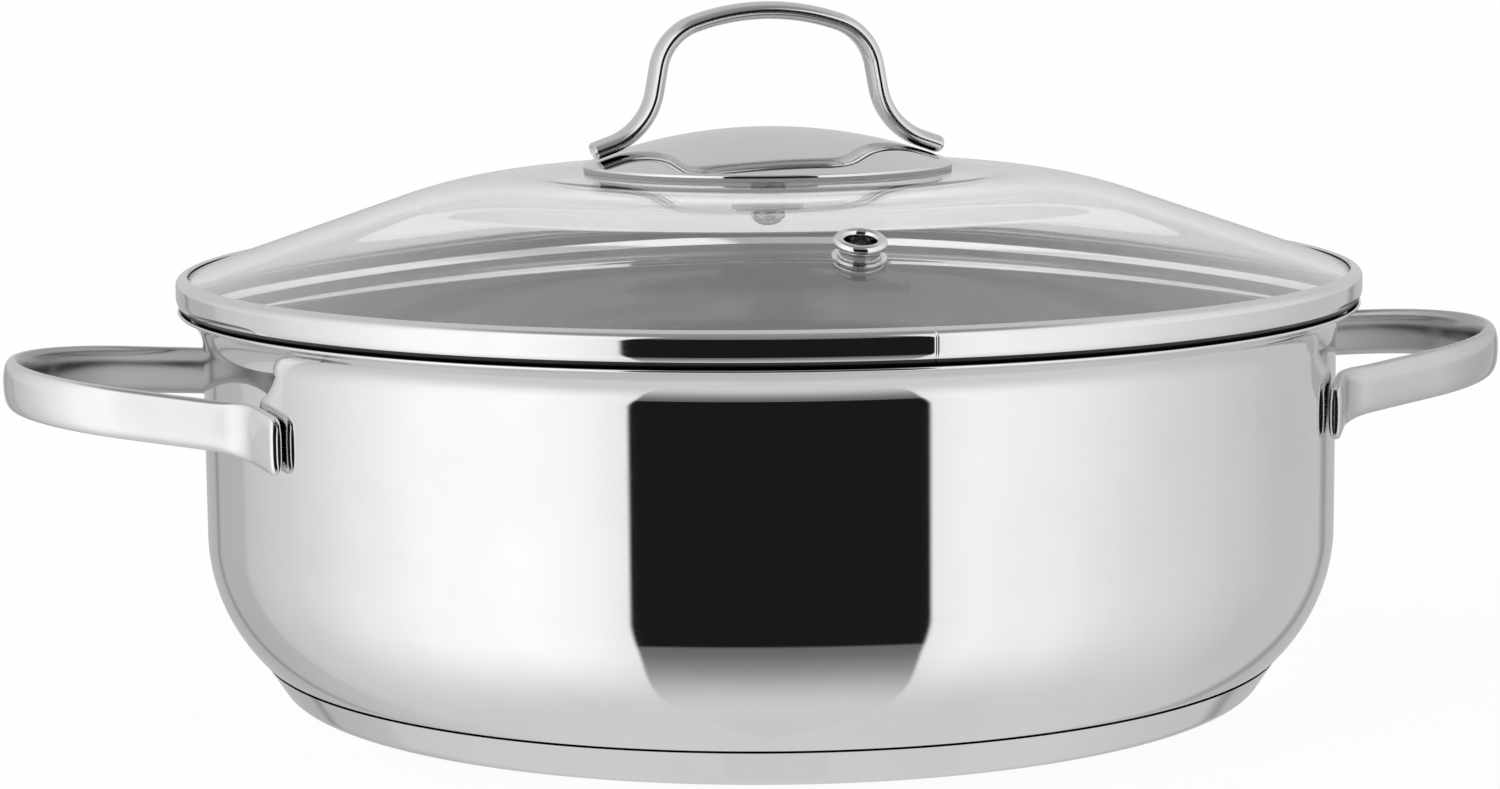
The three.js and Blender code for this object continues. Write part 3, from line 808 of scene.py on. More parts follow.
@dataclass
class SideHandles:
    """Two oval straps bent to a bow, with pads that lie on the wall of the pot."""

    pot: PotShell
    section: StrapSection = StrapSection(squareness=2.4, pad_squareness=3.2)
    standoff: float = 48.2
    below_rim: float = 16.4
    tilt: float = 6 * DEG
    height: float = 12.0
    thick: float = 4.7
    bow_radius: float = 46.0
    leg_turn: float = 66 * DEG
    bend_radius: float = 14.0
    pad_height: float = 13.6
    pad_thick: float = 3.2
    pad_drop: float = 2.0
    pad_end: float = 27.84 * DEG
    end_round: float = 1.5
    corner_round: float = 2.6
    # Painted shade: where the darker inner colour is laid on the straps, and how fast it comes in.
    hollow_share: float = 1 / 3
    inner_shade_gain: float = 2.0

    def skin(self) -> Skin:
        """Strap on +X: its section carried along a bow, a leg, a bend and the pad on the wall.

        The height of the path falls towards the pot by the tangent of the tilt, and along the pad
        by a square law. The section changes from strap to pad by a smooth step over the bend, and
        a quarter circle takes off the corners of the pad's end.

        Returns:
            The closed strap.
        """
        pad_r = self.pot.radius + SEAT_GAP + self.pad_thick / 2
        tip = np.array((self.pot.radius + self.standoff - self.thick / 2, 0.0))
        path = PlanePath.begin(tip, QUARTER).turn(self.bow_radius, self.leg_turn, steps=40)
        heading = path.headings[-1]
        side = along(path.points[-1], self.bend_radius, heading - QUARTER)
        middle = line_to_circle(side, heading, np.zeros(2), pad_r + self.bend_radius)
        path.straight(float(np.linalg.norm(middle - side)), steps=10)
        azimuth = math.atan2(middle[1], middle[0])
        path.turn(self.bend_radius, azimuth + QUARTER - heading, steps=24)
        path.turn(pad_r, self.pad_end - azimuth, steps=60)
        path.rounded_end(self.end_round, steps=12)
        left = path.length_left()
        pad_length = pad_r * (self.pad_end - azimuth) + self.end_round
        step = np.clip((left - pad_length) / self.bend_radius, 0, 1)
        strap = step * step * (3 - 2 * step)
        shrink = self.section.shrink(left, self.end_round)
        corner = np.maximum(shrink, self.section.shrink(left, self.corner_round))
        height = self.pad_height + (self.height - self.pad_height) * strap - corner
        thick = self.pad_thick + (self.thick - self.pad_thick) * strap - shrink
        fall = np.clip(1 - left / (pad_length + self.bend_radius), 0, 1) ** 2
        z = self.pot.height - self.below_rim - (tip[0] - path.points[:, 0]) * math.tan(self.tilt)
        z -= self.pad_drop * fall
        flat = np.zeros_like(z)
        outward = np.column_stack((np.sin(path.headings), -np.cos(path.headings), flat))
        upward = np.column_stack((flat, flat, height / 2))
        centre = np.column_stack((path.points, z))
        return self.section.skin(centre, upward, outward * thick[:, None] / 2, 1 - strap)

    def build(self) -> None:
        """Builds the right strap, and the left one as the right one turned half round."""
        right = self.skin()
        left = right.placed(np.diag((-1.0, -1.0, 1.0, 1.0)))
        for name, skin, look, node in (
            # Painted shade: the right strap takes the darker copy of the strap steel.
            ("right_strap", right, Look.RIGHT_HANDLE_SHADED, "side_handle_right"),
            ("left_strap", left, Look.HANDLE, "side_handle_left"),
        ):
            strap = add_piece(name, skin, look, Body.POT, Slot.HANDLE, node)
            self.mark_painted_inner_shade(strap.data)

    def mark_painted_inner_shade(self, mesh: bpy.types.Mesh) -> None:
        """Marks how far each point faces the hollow of the bow: the cosine times a gain, clipped.

        Args:
            mesh: Mesh of a finished strap.
        """
        spots, normals = (vectors(mesh.vertices, name) for name in ("co", "normal"))
        reach = self.pot.radius + self.standoff * self.hollow_share
        hollow = np.array((math.copysign(reach, spots[:, 0].mean()) * MM, 0.0))
        inward = hollow - spots[:, :2]
        inward /= np.linalg.norm(inward, axis=1, keepdims=True)
        facing = np.einsum("ij,ij->i", inward, normals[:, :2])
        # Painted shade: this mark sets how much of the darker inner colour each point gets.
        mark = mesh.attributes.new(INNER_SHADE, "FLOAT", "POINT")
        mark.data.foreach_set("value", np.clip(self.inner_shade_gain * facing, 0, 1).astype(np.float32))


@dataclass
class GlassLid:
    """Glass dome with a flat crown, a round shoulder and a straight brim, in a steel band."""

    pot: PotShell
    turn: float = 1.6 * DEG
    thick: float = 4.0
    crown_radius: float = 1500.0
    crown_edge: float = 2.25 * DEG
    shoulder_radius: float = 118.0
    brim_slope: float = 19 * DEG
    edge_round: float = 0.7
    hole_radius: float = 4.6
    hole_round: float = 0.4
    band_overhang: float = 6.2
    band_sheet: float = 0.6
    band_heel: float = 4.0
    band_height: float = 9.0
    band_roll: float = 2.0
    band_lip: float = 2.8
    dip_turn: float = 158 * DEG
    dip_bend: float = 1.2
    leg_rise: float = 3.4
    # Painted shadow: how far below the heel's middle the near-black steel starts.
    shadow_heel_drop: float = 1.6
    joint_angle: float = -85.75 * DEG
    joint_width: float = 0.16
    joint_depth: float = 0.25
    joint_reach: float = 4.0
    joint_columns: int = 13

    def __post_init__(self) -> None:
        """Works out the seat of the lid, from the pot's flare to the crown of the glass.

        The band's round heel rests inside the flare, so its middle lies the radius of the seat
        and of the heel from the flare's middle. The brim of the glass lies under the band's lip,
        and the crown's height adds up the falls of crown, shoulder and brim.
        """
        flare, slope, edge = self.pot.flare_centre, self.brim_slope, self.crown_edge
        self.band_radius: float = self.pot.radius + self.band_overhang
        self.seat_radius: float = self.pot.flare_radius + self.pot.sheet + SEAT_GAP
        heel_r = self.band_radius - self.band_heel
        reach = self.seat_radius + self.band_heel
        heel_z = flare[1] + math.sqrt(reach**2 - (flare[0] - heel_r) ** 2)
        self.heel_centre: Array = np.array((heel_r, heel_z))
        self.lip_run: float = self.band_lip - self.band_roll + self.band_roll * math.sin(slope)
        rise = self.band_roll * math.cos(slope) + self.lip_run * math.tan(slope)
        roll_z = heel_z - self.band_heel + self.band_height - rise
        self.roll_centre: Array = np.array((self.band_radius - self.band_roll, roll_z))
        self.glass_radius: float = self.band_radius - self.band_sheet - SEAT_GAP
        under = (self.band_roll - self.band_sheet - SEAT_GAP) / math.cos(slope)
        fall = (self.glass_radius - self.roll_centre[0]) * math.tan(slope)
        self.brim_z: float = roll_z + under - fall
        shoulder_run = self.shoulder_radius * (math.sin(slope) - math.sin(edge))
        brim_r = self.crown_radius * math.sin(edge) + shoulder_run
        crown_fall = self.crown_radius * (1 - math.cos(edge))
        shoulder_fall = self.shoulder_radius * (math.cos(edge) - math.cos(slope))
        self.top_z: float = self.brim_height(brim_r) + crown_fall + shoulder_fall
        self.crown_centre: Array = np.array((0.0, self.top_z - self.crown_radius))
        apart = self.crown_radius - self.shoulder_radius
        self.shoulder_centre: Array = along(self.crown_centre, apart, QUARTER - edge)

    def crown_z(self, radius: float, depth: float) -> float:
        """Height of the crown at a radius and a depth below its outer face."""
        return self.crown_centre[1] + math.sqrt((self.crown_radius - depth) ** 2 - radius**2)

    def brim_height(self, radius: float) -> float:
        """Height of the straight brim's outer face at a radius."""
        return self.brim_z + (self.glass_radius - radius) * math.tan(self.brim_slope)

    def dome_line(self, depth: float, start: float, end: float) -> Array:
        """Crown arc, shoulder arc and straight brim at a depth below the outer face.

        Args:
            depth: Depth below the outer face.
            start: Radius of the first point.
            end: Radius of the last point.

        Returns:
            Radius and height from the crown to the brim.
        """
        radius = self.crown_radius - depth
        first, edge = QUARTER - math.asin(start / radius), QUARTER - self.crown_edge
        brim, shoulder_r = QUARTER - self.brim_slope, self.shoulder_radius - depth
        crown = arc(self.crown_centre, radius, first, edge, steps=24)
        shoulder = arc(self.shoulder_centre, shoulder_r, edge, brim, steps=40)
        length = (end - shoulder[-1, 0]) / math.cos(self.brim_slope)
        tip = along(shoulder[-1], length, -self.brim_slope)
        return chain(crown, shoulder, line(shoulder[-1], tip, steps=28))

    def glass_skin(self) -> Skin:
        """Dome turned about Z: inner line, round edge, outer line, and the round hole edge.

        Returns:
            The closed dome.
        """
        edge, hole = self.edge_round, self.hole_round
        span = (self.hole_radius + hole, self.glass_radius - edge)
        outer, inner = self.dome_line(0, *span), self.dome_line(self.thick, *span)
        rim = outer_edge(self.glass_radius, inner[-1, 1], outer[-1, 1], edge, steps=8)
        bore = inner_edge(self.hole_radius, inner[0, 1], outer[0, 1], hole, steps=6)
        return revolve(chain(inner, rim, outer[::-1], bore[:-1]), ring=True)

    def band_face(self, inside: float) -> Array:
        """Band's outer or inner face: inner leg, dip along the flare, heel, web, top roll and lip.

        Args:
            inside: Distance from the outer face.

        Returns:
            Radius and height from the inner leg to the end of the lip.
        """
        lip_turn, dip_turn, bend = QUARTER - self.brim_slope, self.dip_turn, self.dip_bend
        flare, middle = self.pot.flare_centre, self.heel_centre
        seat_turn = math.atan2(middle[1] - flare[1], middle[0] - flare[0])
        dip_centre = along(flare, self.seat_radius + bend, dip_turn)
        leg_top = (dip_centre[0] - bend + inside, dip_centre[1] - bend + self.leg_rise)
        dip = arc(dip_centre, bend - inside, -math.pi, dip_turn - math.pi, steps=16)
        seat = arc(flare, self.seat_radius + inside, dip_turn, seat_turn, steps=16)
        heel = arc(middle, self.band_heel - inside, seat_turn - math.pi, 0, steps=18)
        roll = arc(self.roll_centre, self.band_roll - inside, 0, lip_turn, steps=18)
        lip = along(roll[-1], self.lip_run / math.cos(self.brim_slope), lip_turn + QUARTER)
        leg, web = line(leg_top, dip[0], steps=6), line(heel[-1], roll[0], steps=6)
        return chain(leg, dip, seat, heel, web, roll, line(roll[-1], lip, steps=4))

    def band_skin(self) -> Skin:
        """Band turned about Z, with a shallow groove where its two ends meet.

        The groove pulls the radius in by its depth times a bell curve of the distance round the
        band from the joint.

        Returns:
            The closed band.
        """
        profile = chain(self.band_face(0), self.band_face(self.band_sheet)[::-1])
        reach = self.joint_reach * self.joint_width / self.band_radius
        near = (self.joint_angle + np.linspace(-reach, reach, self.joint_columns)) % FULL
        angles = np.unique(np.round(np.r_[ROUND_TURN, near], ANGLE_DIGITS))
        plain = revolve(profile, angles, ring=True)
        turn = np.arctan2(plain.points[:, 1], plain.points[:, 0]) - self.joint_angle
        away = self.band_radius * np.abs((turn + math.pi) % FULL - math.pi)
        groove = self.joint_depth * np.exp(-((away / self.joint_width) ** 2))
        radius = np.hypot(plain.points[:, 0], plain.points[:, 1])
        share = 1 - groove * (radius > self.band_radius - 2 * self.band_sheet) / radius
        points = plain.points * np.column_stack((share, share, np.ones_like(share)))
        return Skin(points, plain.quads, plain.triangles)

    def build(self, vent: "SteamVent") -> None:
        """Builds the dome with its vent hole, and the band.

        Args:
            vent: Steam vent that passes the glass.
        """
        skin = self.glass_skin()
        glass = add_piece("glass_dome", skin, Look.GLASS, Body.LID, Slot.GLASS, "lid_glass")
        vent.bore(glass)
        radius, _ = face_places(glass)
        second_finish(glass, Look.GROUND_EDGE, radius > self.glass_radius - self.edge_round)
        skin = self.band_skin()
        band = add_piece("rim_band", skin, Look.POLISHED, Body.LID, Slot.POLISHED, "lid_band")
        # Painted shadow: the low outer faces of the band's heel get the near-black steel.
        radius, height = face_places(band)
        low = (height < self.heel_centre[1] - self.shadow_heel_drop) & (radius > self.heel_centre[0])
        second_finish(band, Look.HEEL_SHADOW, low)


@dataclass
class SteamVent:
    """Riveted eyelet in the glass with its backing ring."""

    lid: GlassLid
    inset: float = 42.6
    bore_radius: float = 3.6
    wall: float = 0.7
    lip_radius: float = 1.25
    hole_spare: float = 0.5
    ring_radius: float = 6.2
    ring_thick: float = 0.8
    rivet_radius: float = 5.7
    rivet_thick: float = 0.6
    edge: float = 0.2

    def matrix(self) -> Array:
        """Place on the brim towards -Y, tipped to stand square to the glass, then turned about Z.

        Returns:
            A 4 by 4 matrix in millimetres.
        """
        turn, radius = self.lid.turn, self.lid.glass_radius - self.inset
        spot = (radius * math.sin(turn), -radius * math.cos(turn), self.lid.brim_height(radius))
        tip = Matrix.Rotation(turn, 4, "Z") @ Matrix.Rotation(self.lid.brim_slope, 4, "X")
        return np.array(Matrix.Translation(spot) @ tip)

    def bore(self, glass: Piece) -> None:
        """Cuts the vent hole through the glass and keeps the result as its mesh.

        Args:
            glass: Object of the dome.
        """
        radius = self.bore_radius + self.wall + self.hole_spare
        low, high = -2 * self.lid.thick, self.lid.thick
        drill = np.array(((0, low), (radius, low), (radius, high), (0, high)), float)
        skin = revolve(drill, SMALL_TURN).placed(self.matrix())
        faces = skin.quads.tolist() + skin.triangles.tolist()
        cutter = skin_object("vent_drill", skin.points * MM, faces)
        cut = glass.modifiers.new("vent_hole", "BOOLEAN")
        cut.operation, cut.solver, cut.object = "DIFFERENCE", "EXACT", cutter
        graph = bpy.context.evaluated_depsgraph_get()
        bored = bpy.data.meshes.new_from_object(glass.evaluated_get(graph))
        glass.modifiers.clear()
        glass.data = bored
        smooth(bored)
        bpy.data.objects.remove(cutter)

    def build(self) -> None:
        """Builds the eyelet, a tube with a round lip and a rivet flange, and its backing ring."""
        bore, tube, half = self.bore_radius, self.bore_radius + self.wall, self.rivet_thick / 2
        rivet_top = -self.lid.thick - self.ring_thick - 3 * SEAT_GAP
        low = rivet_top - self.rivet_thick
        lip = (bore + self.lip_radius, SEAT_GAP + self.lip_radius)
        start = -math.acos((tube - lip[0]) / self.lip_radius)
        lip_foot = along(lip, self.lip_radius, start)
        eyelet = chain(
            (bore, low),
            arc((self.rivet_radius - half, low + half), half, -QUARTER, QUARTER, steps=10),
            line((tube, rivet_top), lip_foot, steps=6),
            arc(lip, self.lip_radius, start, math.pi, steps=32),
            line((bore, lip[1]), (bore, low + self.edge), steps=8),
        )
        top = -self.lid.thick - SEAT_GAP
        low = top - self.ring_thick
        ring = rounded_ring(tube + SEAT_GAP, self.ring_radius, low, top, self.edge)
        for name, profile, look, slot, node in (
            ("vent_tube", eyelet, Look.POLISHED, Slot.POLISHED, "vent_eyelet"),
            ("vent_washer", ring, Look.PLAIN, Slot.PLAIN, "vent_ring"),
        ):
            skin = revolve(profile, SMALL_TURN, ring=True).placed(self.matrix())
            add_piece(name, skin, look, Body.LID, slot, node)


@dataclass
class LidHandle:
    """Strap loop on a domed disc, which a stud and a domed nut clamp to the glass."""

    lid: GlassLid
    section: StrapSection = StrapSection(squareness=2.1, pad_squareness=2.1)
    disc_radius: float = 46.0
    disc_sheet: float = 0.8
    disc_rise: float = 8.7
    disc_skirt: float = 0.6
    disc_round: float = 0.45
    disc_inner_round: float = 0.05
    gasket_thick: float = 0.3
    gasket_width: float = 2.2
    seal_squeeze: float = 0.25
    loop_rise: float = 31.2
    loop_width: float = 11.0
    loop_thick: float = 4.4
    crown_radius: float = 56.0
    crown_turn: float = 19 * DEG
    corner_radius: float = 13.8
    leg_lean: float = 10.3 * DEG
    foot_bend: float = 16.8
    foot_length: float = 5.0
    end_round: float = 0.8
    settle_rounds: int = 12
    stud_radius: float = 2.5
    stud_head_radius: float = 6.0
    stud_head_thick: float = 1.2
    flange_radius: float = 9.0
    flange_thick: float = 0.8
    washer_radius: float = 8.0
    washer_thick: float = 0.8
    nut_flats: float = 8.0
    nut_height: float = 3.0
    nut_dome_height: float = 2.4
    nut_dome_radius: float = 3.6
    edge: float = 0.2

    def __post_init__(self) -> None:
        """Works out the heights above and below the glass.

        Gasket and disc stand on the crown's outer face, and the bush's flange, the washer and the
        nut hang under its inner face. The dome's radius comes from its chord and its rise.
        """
        self.bore: float = self.stud_radius + SEAT_GAP
        self.gasket_inner: float = self.disc_radius - self.gasket_width
        seat = self.lid.crown_z(self.gasket_inner, 0) + SEAT_GAP
        self.gasket_top: float = seat + self.gasket_thick
        self.disc_foot: float = self.gasket_top + SEAT_GAP
        self.dome_radius: float = (self.disc_radius**2 + self.disc_rise**2) / (2 * self.disc_rise)
        top = self.disc_foot + self.disc_skirt + self.disc_rise
        self.dome_centre: Array = np.array((0.0, top - self.dome_radius))
        self.bush_top: float = self.lid.crown_z(self.flange_radius, self.lid.thick) - SEAT_GAP
        self.washer_top: float = self.bush_top - self.flange_thick - SEAT_GAP
        self.nut_top: float = self.washer_top - self.washer_thick - SEAT_GAP
        self.nut_low: float = self.nut_top - self.nut_height

    def dome_z(self, radius: float, depth: float) -> float:
        """Height of the disc's dome at a radius and a depth below its outer face."""
        return self.dome_centre[1] + math.sqrt((self.dome_radius - depth) ** 2 - radius**2)

    def disc_face(self, depth: float, rounding: float) -> Array:
        """Dome from the axis, shoulder arc tangent to the dome and the skirt, and skirt.

        Args:
            depth: Depth below the outer face.
            rounding: Radius of the shoulder.

        Returns:
            Radius and height from the axis to the foot of the skirt.
        """
        dome, wall = self.dome_radius - depth, self.disc_radius - depth
        start = QUARTER - math.asin((wall - rounding) / (dome - rounding))
        shoulder = along(self.dome_centre, dome - rounding, start)
        bend = arc(shoulder, rounding, start, 0, steps=12)
        crown = arc(self.dome_centre, dome, QUARTER, start, steps=48)
        return chain(crown, bend, line(bend[-1], (wall, self.disc_foot), steps=4))

    def loop_path(self, leg: float, slope: float) -> PlanePath:
        """Half path of the loop: crown, corner, leg, foot bend and foot along the disc.

        Args:
            leg: Length of the straight leg.
            slope: Slope of the disc under the foot.

        Returns:
            The path in the plane of the loop.
        """
        heading = self.leg_lean - QUARTER
        start = (0.0, self.dome_z(0, 0) + self.loop_rise - self.loop_thick / 2)
        path = PlanePath.begin(start, 0.0).turn(self.crown_radius, -self.crown_turn, steps=16)
        path.turn(self.corner_radius, heading + self.crown_turn, steps=28)
        path.straight(leg, steps=8).turn(self.foot_bend, -slope - heading, steps=28)
        path.straight(self.foot_length - self.end_round, steps=6)
        return path.rounded_end(self.end_round, steps=8)

    def loop_skin(self) -> Skin:
        """Strap section carried along the half path and its mirror image.

        The leg is settled in rounds, so that the middle of the foot stands half a thickness and a
        gap above the dome of the disc.

        Returns:
            The closed strap.
        """
        leg, slope = self.loop_rise / 2, 0.0
        for _ in range(self.settle_rounds):
            foot = along(self.loop_path(leg, slope).points[-1], -self.foot_length / 2, -slope)
            slope = math.asin(foot[0] / self.dome_radius)
            seat = self.dome_z(foot[0], 0) + (self.loop_thick / 2 + SEAT_GAP) / math.cos(slope)
            leg += foot[1] - seat
        path = self.loop_path(leg, slope)
        shrink = self.section.shrink(path.length_left(), self.end_round)
        flat, thick = np.zeros_like(shrink), (self.loop_thick - shrink) / 2
        centre = np.column_stack((flat, path.points))
        wide = np.column_stack(((self.loop_width - shrink) / 2, flat, flat))
        sine, cosine = np.sin(path.headings), np.cos(path.headings)
        upward = np.column_stack((flat, -sine * thick, cosine * thick))
        quarter_back = np.array(Matrix.Rotation(self.lid.turn - QUARTER, 4, "Z"))
        return self.section.skin(centre, wide, upward, flat).placed(quarter_back)

    def nut_skin(self) -> Skin:
        """Domed nut: at each height the radius is the lesser of a round one and the hexagon's.

        The hexagon's radius is half the flats over the cosine of the angle from the nearest flat.

        Returns:
            The closed nut.
        """
        top, low, half, sixth = self.nut_top, self.nut_low, self.nut_flats / 2, math.pi / 3
        corner = half / math.cos(sixth / 2)
        chamfer, floor = corner - half, low + SEAT_GAP / 2
        dome = arc((0, 0), 1, QUARTER, 0, steps=12)
        profile = chain(
            np.array((0, low)) + dome * (self.nut_dome_radius, -self.nut_dome_height),
            ((half, low), (corner, low + chamfer), (corner, top - chamfer), (half, top)),
            ((self.bore, top), (self.bore, floor), (0, floor)),
        )
        hexagon = half / np.cos((SMALL_TURN + sixth / 2) % sixth - sixth / 2)
        return revolve(profile, SMALL_TURN, limit=hexagon)

    def fixing_skins(self) -> tuple[Skin, ...]:
        """Turned skins of the gasket, stud, bush and washer.

        Returns:
            The skins in this order.
        """
        lid, edge, bore, top = self.lid, self.edge, self.bore, self.lid.top_z
        lift = SEAT_GAP - self.seal_squeeze
        rims = (self.gasket_inner, self.disc_radius)
        gasket = chain(
            [(radius, lid.crown_z(radius, 0) + lift) for radius in rims],
            [(radius, self.gasket_top + self.seal_squeeze) for radius in rims[::-1]],
        )
        radius, head_radius, foot = self.stud_radius, self.stud_head_radius, self.nut_low + SEAT_GAP
        head_top = self.dome_z(head_radius, self.disc_sheet) - SEAT_GAP
        head_low = head_top - self.stud_head_thick
        stud = chain(
            (0, foot),
            arc((radius - edge, foot + edge), edge, -QUARTER, 0, steps=4),
            line((radius, foot + 2 * edge), (radius, head_low), steps=6),
            outer_edge(head_radius, head_low, head_top, edge, steps=4),
            (0, head_top),
        )
        sleeve, high = lid.hole_radius - SEAT_GAP, self.bush_top
        low = high - self.flange_thick
        flange = outer_edge(self.flange_radius, low, high, edge, steps=4)
        bush = chain((bore, low), flange, ((sleeve, high), (sleeve, top), (bore, top)))
        washer_low = self.washer_top - self.washer_thick
        washer = rounded_ring(bore, self.washer_radius, washer_low, self.washer_top, edge)
        rings = (revolve(profile, SMALL_TURN, ring=True) for profile in (bush, washer))
        return revolve(gasket, ring=True), revolve(stud, SMALL_TURN), *rings

    def build(self) -> None:
        """Builds the loop, the disc and the fixing."""
        outer = self.disc_face(0, self.disc_round)
        inner = self.disc_face(self.disc_sheet, self.disc_inner_round)
        plate = revolve(chain(inner, outer[::-1]))
        gasket, stud, bush, washer = self.fixing_skins()
        for name, skin, look, slot, node in (
            ("loop_strap", self.loop_skin(), Look.LOOP, Slot.HANDLE, "lid_handle_loop"),
            ("handle_plate", plate, Look.POLISHED, Slot.POLISHED, "lid_handle_disc"),
            ("dome_nut", self.nut_skin(), Look.PLAIN, Slot.PLAIN, "domed_nut"),
            ("plate_seal", gasket, Look.SILICONE, Slot.SILICONE, "disc_gasket"),
            ("plate_stud", stud, Look.PLAIN, Slot.PLAIN, "disc_stud"),
            ("glass_bush", bush, Look.SILICONE, Slot.SILICONE, "hole_bush"),
            ("nut_washer", washer, Look.PLAIN, Slot.PLAIN, "clamp_washer"),
        ):
            add_piece(name, skin, look, Body.LID, slot, node)


# Studio


@dataclass(frozen=True)
class StudioCamera:
    """Camera at the picture's viewing angle: place about the pot, and the way it is tipped."""

    azimuth: float = -9.8 * DEG
    distance: float = 918.2
    height: float = 196.9
    pitch: float = 0.1360
    yaw: float = 0.00527
    roll: float = -0.0080
    focal_pixels: float = 3679.1
    image_width: float = 1500.0
    sensor: float = 36.0

    def build(self) -> None:
        """Adds the camera: turned round the pot, moved out and up, then pitch, yaw and roll."""
        data = bpy.data.cameras.new("studio_camera")
        data.sensor_width = self.sensor
        data.lens = self.focal_pixels / self.image_width * self.sensor
        camera = bpy.data.objects.new("studio_camera", data)
        spot = Matrix.Translation((0, -self.distance * MM, self.height * MM))
        pose = Matrix.Rotation(self.azimuth, 4, "Z") @ spot
        for angle, axis in ((QUARTER - self.pitch, "X"), (self.yaw, "Y"), (self.roll, "Z")):
            pose = pose @ Matrix.Rotation(angle, 4, axis)
        camera.matrix_world = pose
        bpy.context.scene.collection.objects.link(camera)
        bpy.context.scene.camera = camera


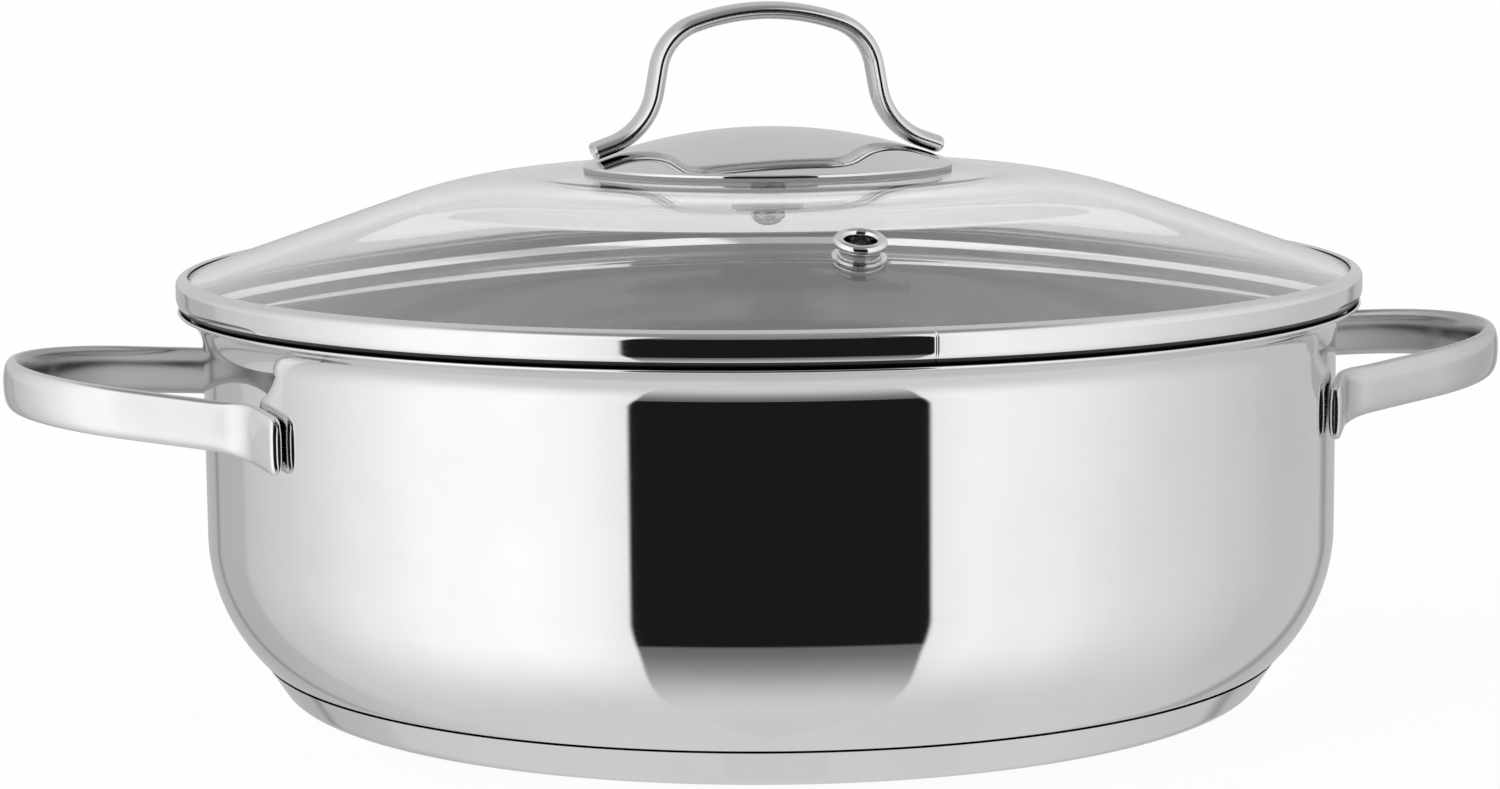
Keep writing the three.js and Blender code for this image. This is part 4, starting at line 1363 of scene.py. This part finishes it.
@dataclass(frozen=True)
class Studio:
    """Soft light tent with a dark opening on the camera's side, and a plain pale floor."""

    front: float = -9.8 * DEG
    ring_levels: tuple = (
        (-180, 0.66), (-165, 0.52), (-151.5, 0.49), (-149.5, 0.28), (-147, 0.50), (-131, 0.54),
        (-129, 0.64), (-110, 0.77), (-90, 1.0), (-70, 1.2), (-50, 1.24), (-36, 1.14),
        (-26, 1.0), (30, 1.0), (40, 1.11), (60, 1.03), (80, 0.86), (100, 0.74), (120, 0.63),
        (144.5, 0.61), (146.5, 0.46), (149.5, 0.33), (153, 0.52), (165, 0.54), (180, 0.66),
    )
    opening: tuple = (-27.2, 31.0)
    opening_edge: float = 1.2
    spread_fade: tuple = (-70.0, -26.0)
    spread: tuple = (0.82, 1.0)
    opening_levels: tuple = (
        (-90, 0.7), (-66, 0.74), (-58, 0.69), (-50, 0.56), (-40, 0.34), (-30, 0.19),
        (-25, 0.165), (-24, 0.012), (30, 0.012), (38, 0.24), (60, 0.28), (90, 0.33),
    )
    upper_levels: tuple = (
        (-180, 0.62), (-140, 0.66), (-110, 0.84), (-90, 1.0), (-70, 1.2), (-50, 1.24),
        (-36, 1.14), (-26, 1.0), (30, 1.0), (40, 1.11), (60, 1.03), (90, 0.92), (120, 0.8),
        (150, 0.65), (180, 0.62),
    )
    upper_fade: tuple = (-3.0, 3.0)
    table_level: float = 0.745
    table_fade: tuple = (-24.0, -66.0)
    roof_levels: tuple = (
        (-180, 0.62), (30, 0.26), (74, 0.3), (109, 0.37), (134, 0.46), (155, 0.57), (180, 0.62),
    )
    roof_fade: tuple = (46.0, 68.0)
    through_level: float = 1.0
    behind_edge: float = 0.1
    panel_levels: tuple = (
        (-180, 1.0), (-46, 1.0), (-44, 0.5), (-31, 0.5), (-29, 1.25), (-12, 1.25), (-10, 0.45),
        (4, 0.4), (6, 1.2), (17, 1.25), (19, 0.5), (33, 0.55), (35, 1.0), (180, 1.0),
    )
    floor_size: float = 16.0
    floor_drop: float = 0.0002
    floor_colour: tuple = (0.86, 0.86, 0.86, 1.0)
    floor_roughness: float = 0.9
    floor_glow: float = 1.08
    floor_glow_share: float = 0.84

    def build_world(self) -> None:
        """Builds the tent: levels by azimuth below and above the horizon, then table and roof.

        The roof's levels go by the angle from the camera's side over the top to the back. The
        opening on the camera's side has its own levels by height, and it widens towards the table.
        The camera sees white. A ray through the glass sees white behind the pot, panels overhead
        and the tent in front. Every other ray sees the tent.
        """
        world = bpy.data.worlds.new("light_tent")
        bpy.context.scene.world = world
        world.use_nodes = True
        world.node_tree.nodes.clear()
        bench = NodeBench(world.node_tree)
        way = bench.place("Generated")
        turn = {"Vector": way, "Rotation": (0, 0, -self.front)}
        turned = bench.add("ShaderNodeMapping", turn, vector_type="POINT").outputs[0]
        axes = bench.add("ShaderNodeSeparateXYZ", {0: turned}).outputs
        front = bench.math("MULTIPLY", axes[1], -1.0)
        azimuth = bench.math("ARCTAN2", axes[0], front)
        length = bench.add("ShaderNodeVectorMath", {0: way}, operation="LENGTH").outputs[1]
        rise = bench.math("ARCSINE", bench.math("DIVIDE", axes[2], length))
        over = bench.levels(bench.math("ARCTAN2", axes[2], front), self.roof_levels)
        table, roof, height = (
            bench.remap(rise, radians(*fade))
            for fade in (self.table_fade, self.roof_fade, self.upper_fade)
        )
        lower = bench.levels(azimuth, self.ring_levels)
        upper = bench.levels(azimuth, self.upper_levels)
        low = bench.mix(table, bench.mix(height, lower, upper), self.table_level)
        gap = bench.levels(rise, self.opening_levels, limit=90)
        spread = bench.remap(rise, radians(*self.spread_fade), self.spread)
        narrowed, half = bench.math("MULTIPLY", azimuth, spread), self.opening_edge / 2
        left, right = (
            bench.remap(narrowed, radians(edge - half, edge + half), result)
            for edge, result in zip(self.opening, ((0, 1), (1, 0)))
        )
        share = bench.math("MULTIPLY", left, right)
        tent = bench.mix(share, bench.mix(roof, low, over), gap)
        path = bench.add("ShaderNodeLightPath").outputs
        behind = bench.remap(axes[1], (-self.behind_edge, self.behind_edge))
        panels = bench.levels(bench.math("ARCTAN2", axes[0], axes[2]), self.panel_levels)
        beyond = bench.mix(roof, self.through_level, panels)
        open_way = bench.math("MAXIMUM", behind, roof)
        clear = bench.math("MULTIPLY", path["Is Transmission Ray"], open_way)
        level = bench.mix(path["Is Camera Ray"], bench.mix(clear, tent, beyond), 1.0)
        sky = bench.add("ShaderNodeBackground", {"Strength": level, "Color": WHITE})
        bench.add("ShaderNodeOutputWorld", {"Surface": sky.outputs[0]})
        LOG.info("light_tent: %d nodes", len(world.node_tree.nodes))

    def build_floor(self) -> None:
        """Adds the floor: pale, with white added for the camera and through the glass."""
        half = self.floor_size / 2
        square = np.array(((-half, -half), (half, -half), (half, half), (-half, half)))
        points = np.column_stack((square, np.full(len(square), -self.floor_drop)))
        floor = skin_object("studio_floor", points, [(0, 1, 2, 3)])
        material, bench, shader = new_material("pale_floor")
        inputs = {"Base Color": self.floor_colour, "Roughness": self.floor_roughness}
        bench.fill(shader, inputs | {"Specular IOR Level": 0.0})
        path = bench.add("ShaderNodeLightPath").outputs
        seen = bench.math("MAXIMUM", path["Is Camera Ray"], path["Is Transmission Ray"])
        share = bench.math("MULTIPLY", seen, self.floor_glow_share)
        glow = bench.add("ShaderNodeEmission", {"Strength": self.floor_glow}).outputs[0]
        mixed = bench.add("ShaderNodeMixShader", {0: share, 1: shader.outputs[0], 2: glow})
        bench.fill(material.node_tree.nodes["Material Output"], {"Surface": mixed.outputs[0]})
        floor.data.materials.append(material)
        floor.visible_glossy = False
        LOG.info("studio_floor: %.0f m square", self.floor_size)

    def build(self) -> None:
        """Builds the light tent, the floor and the plain view transform."""
        self.build_world()
        self.build_floor()
        bpy.context.scene.view_settings.view_transform = "Standard"


def main() -> None:
    """Builds the studio and every sub-assembly."""
    logging.basicConfig(level=logging.INFO, format="%(name)s: %(message)s")
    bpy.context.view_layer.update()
    StudioCamera().build()
    Studio().build()
    pot = PotShell()
    pot.build()
    PotBase(pot).build()
    SideHandles(pot).build()
    lid = GlassLid(pot)
    vent = SteamVent(lid)
    lid.build(vent)
    vent.build()
    LidHandle(lid).build()


if __name__ == "__main__":
    main()
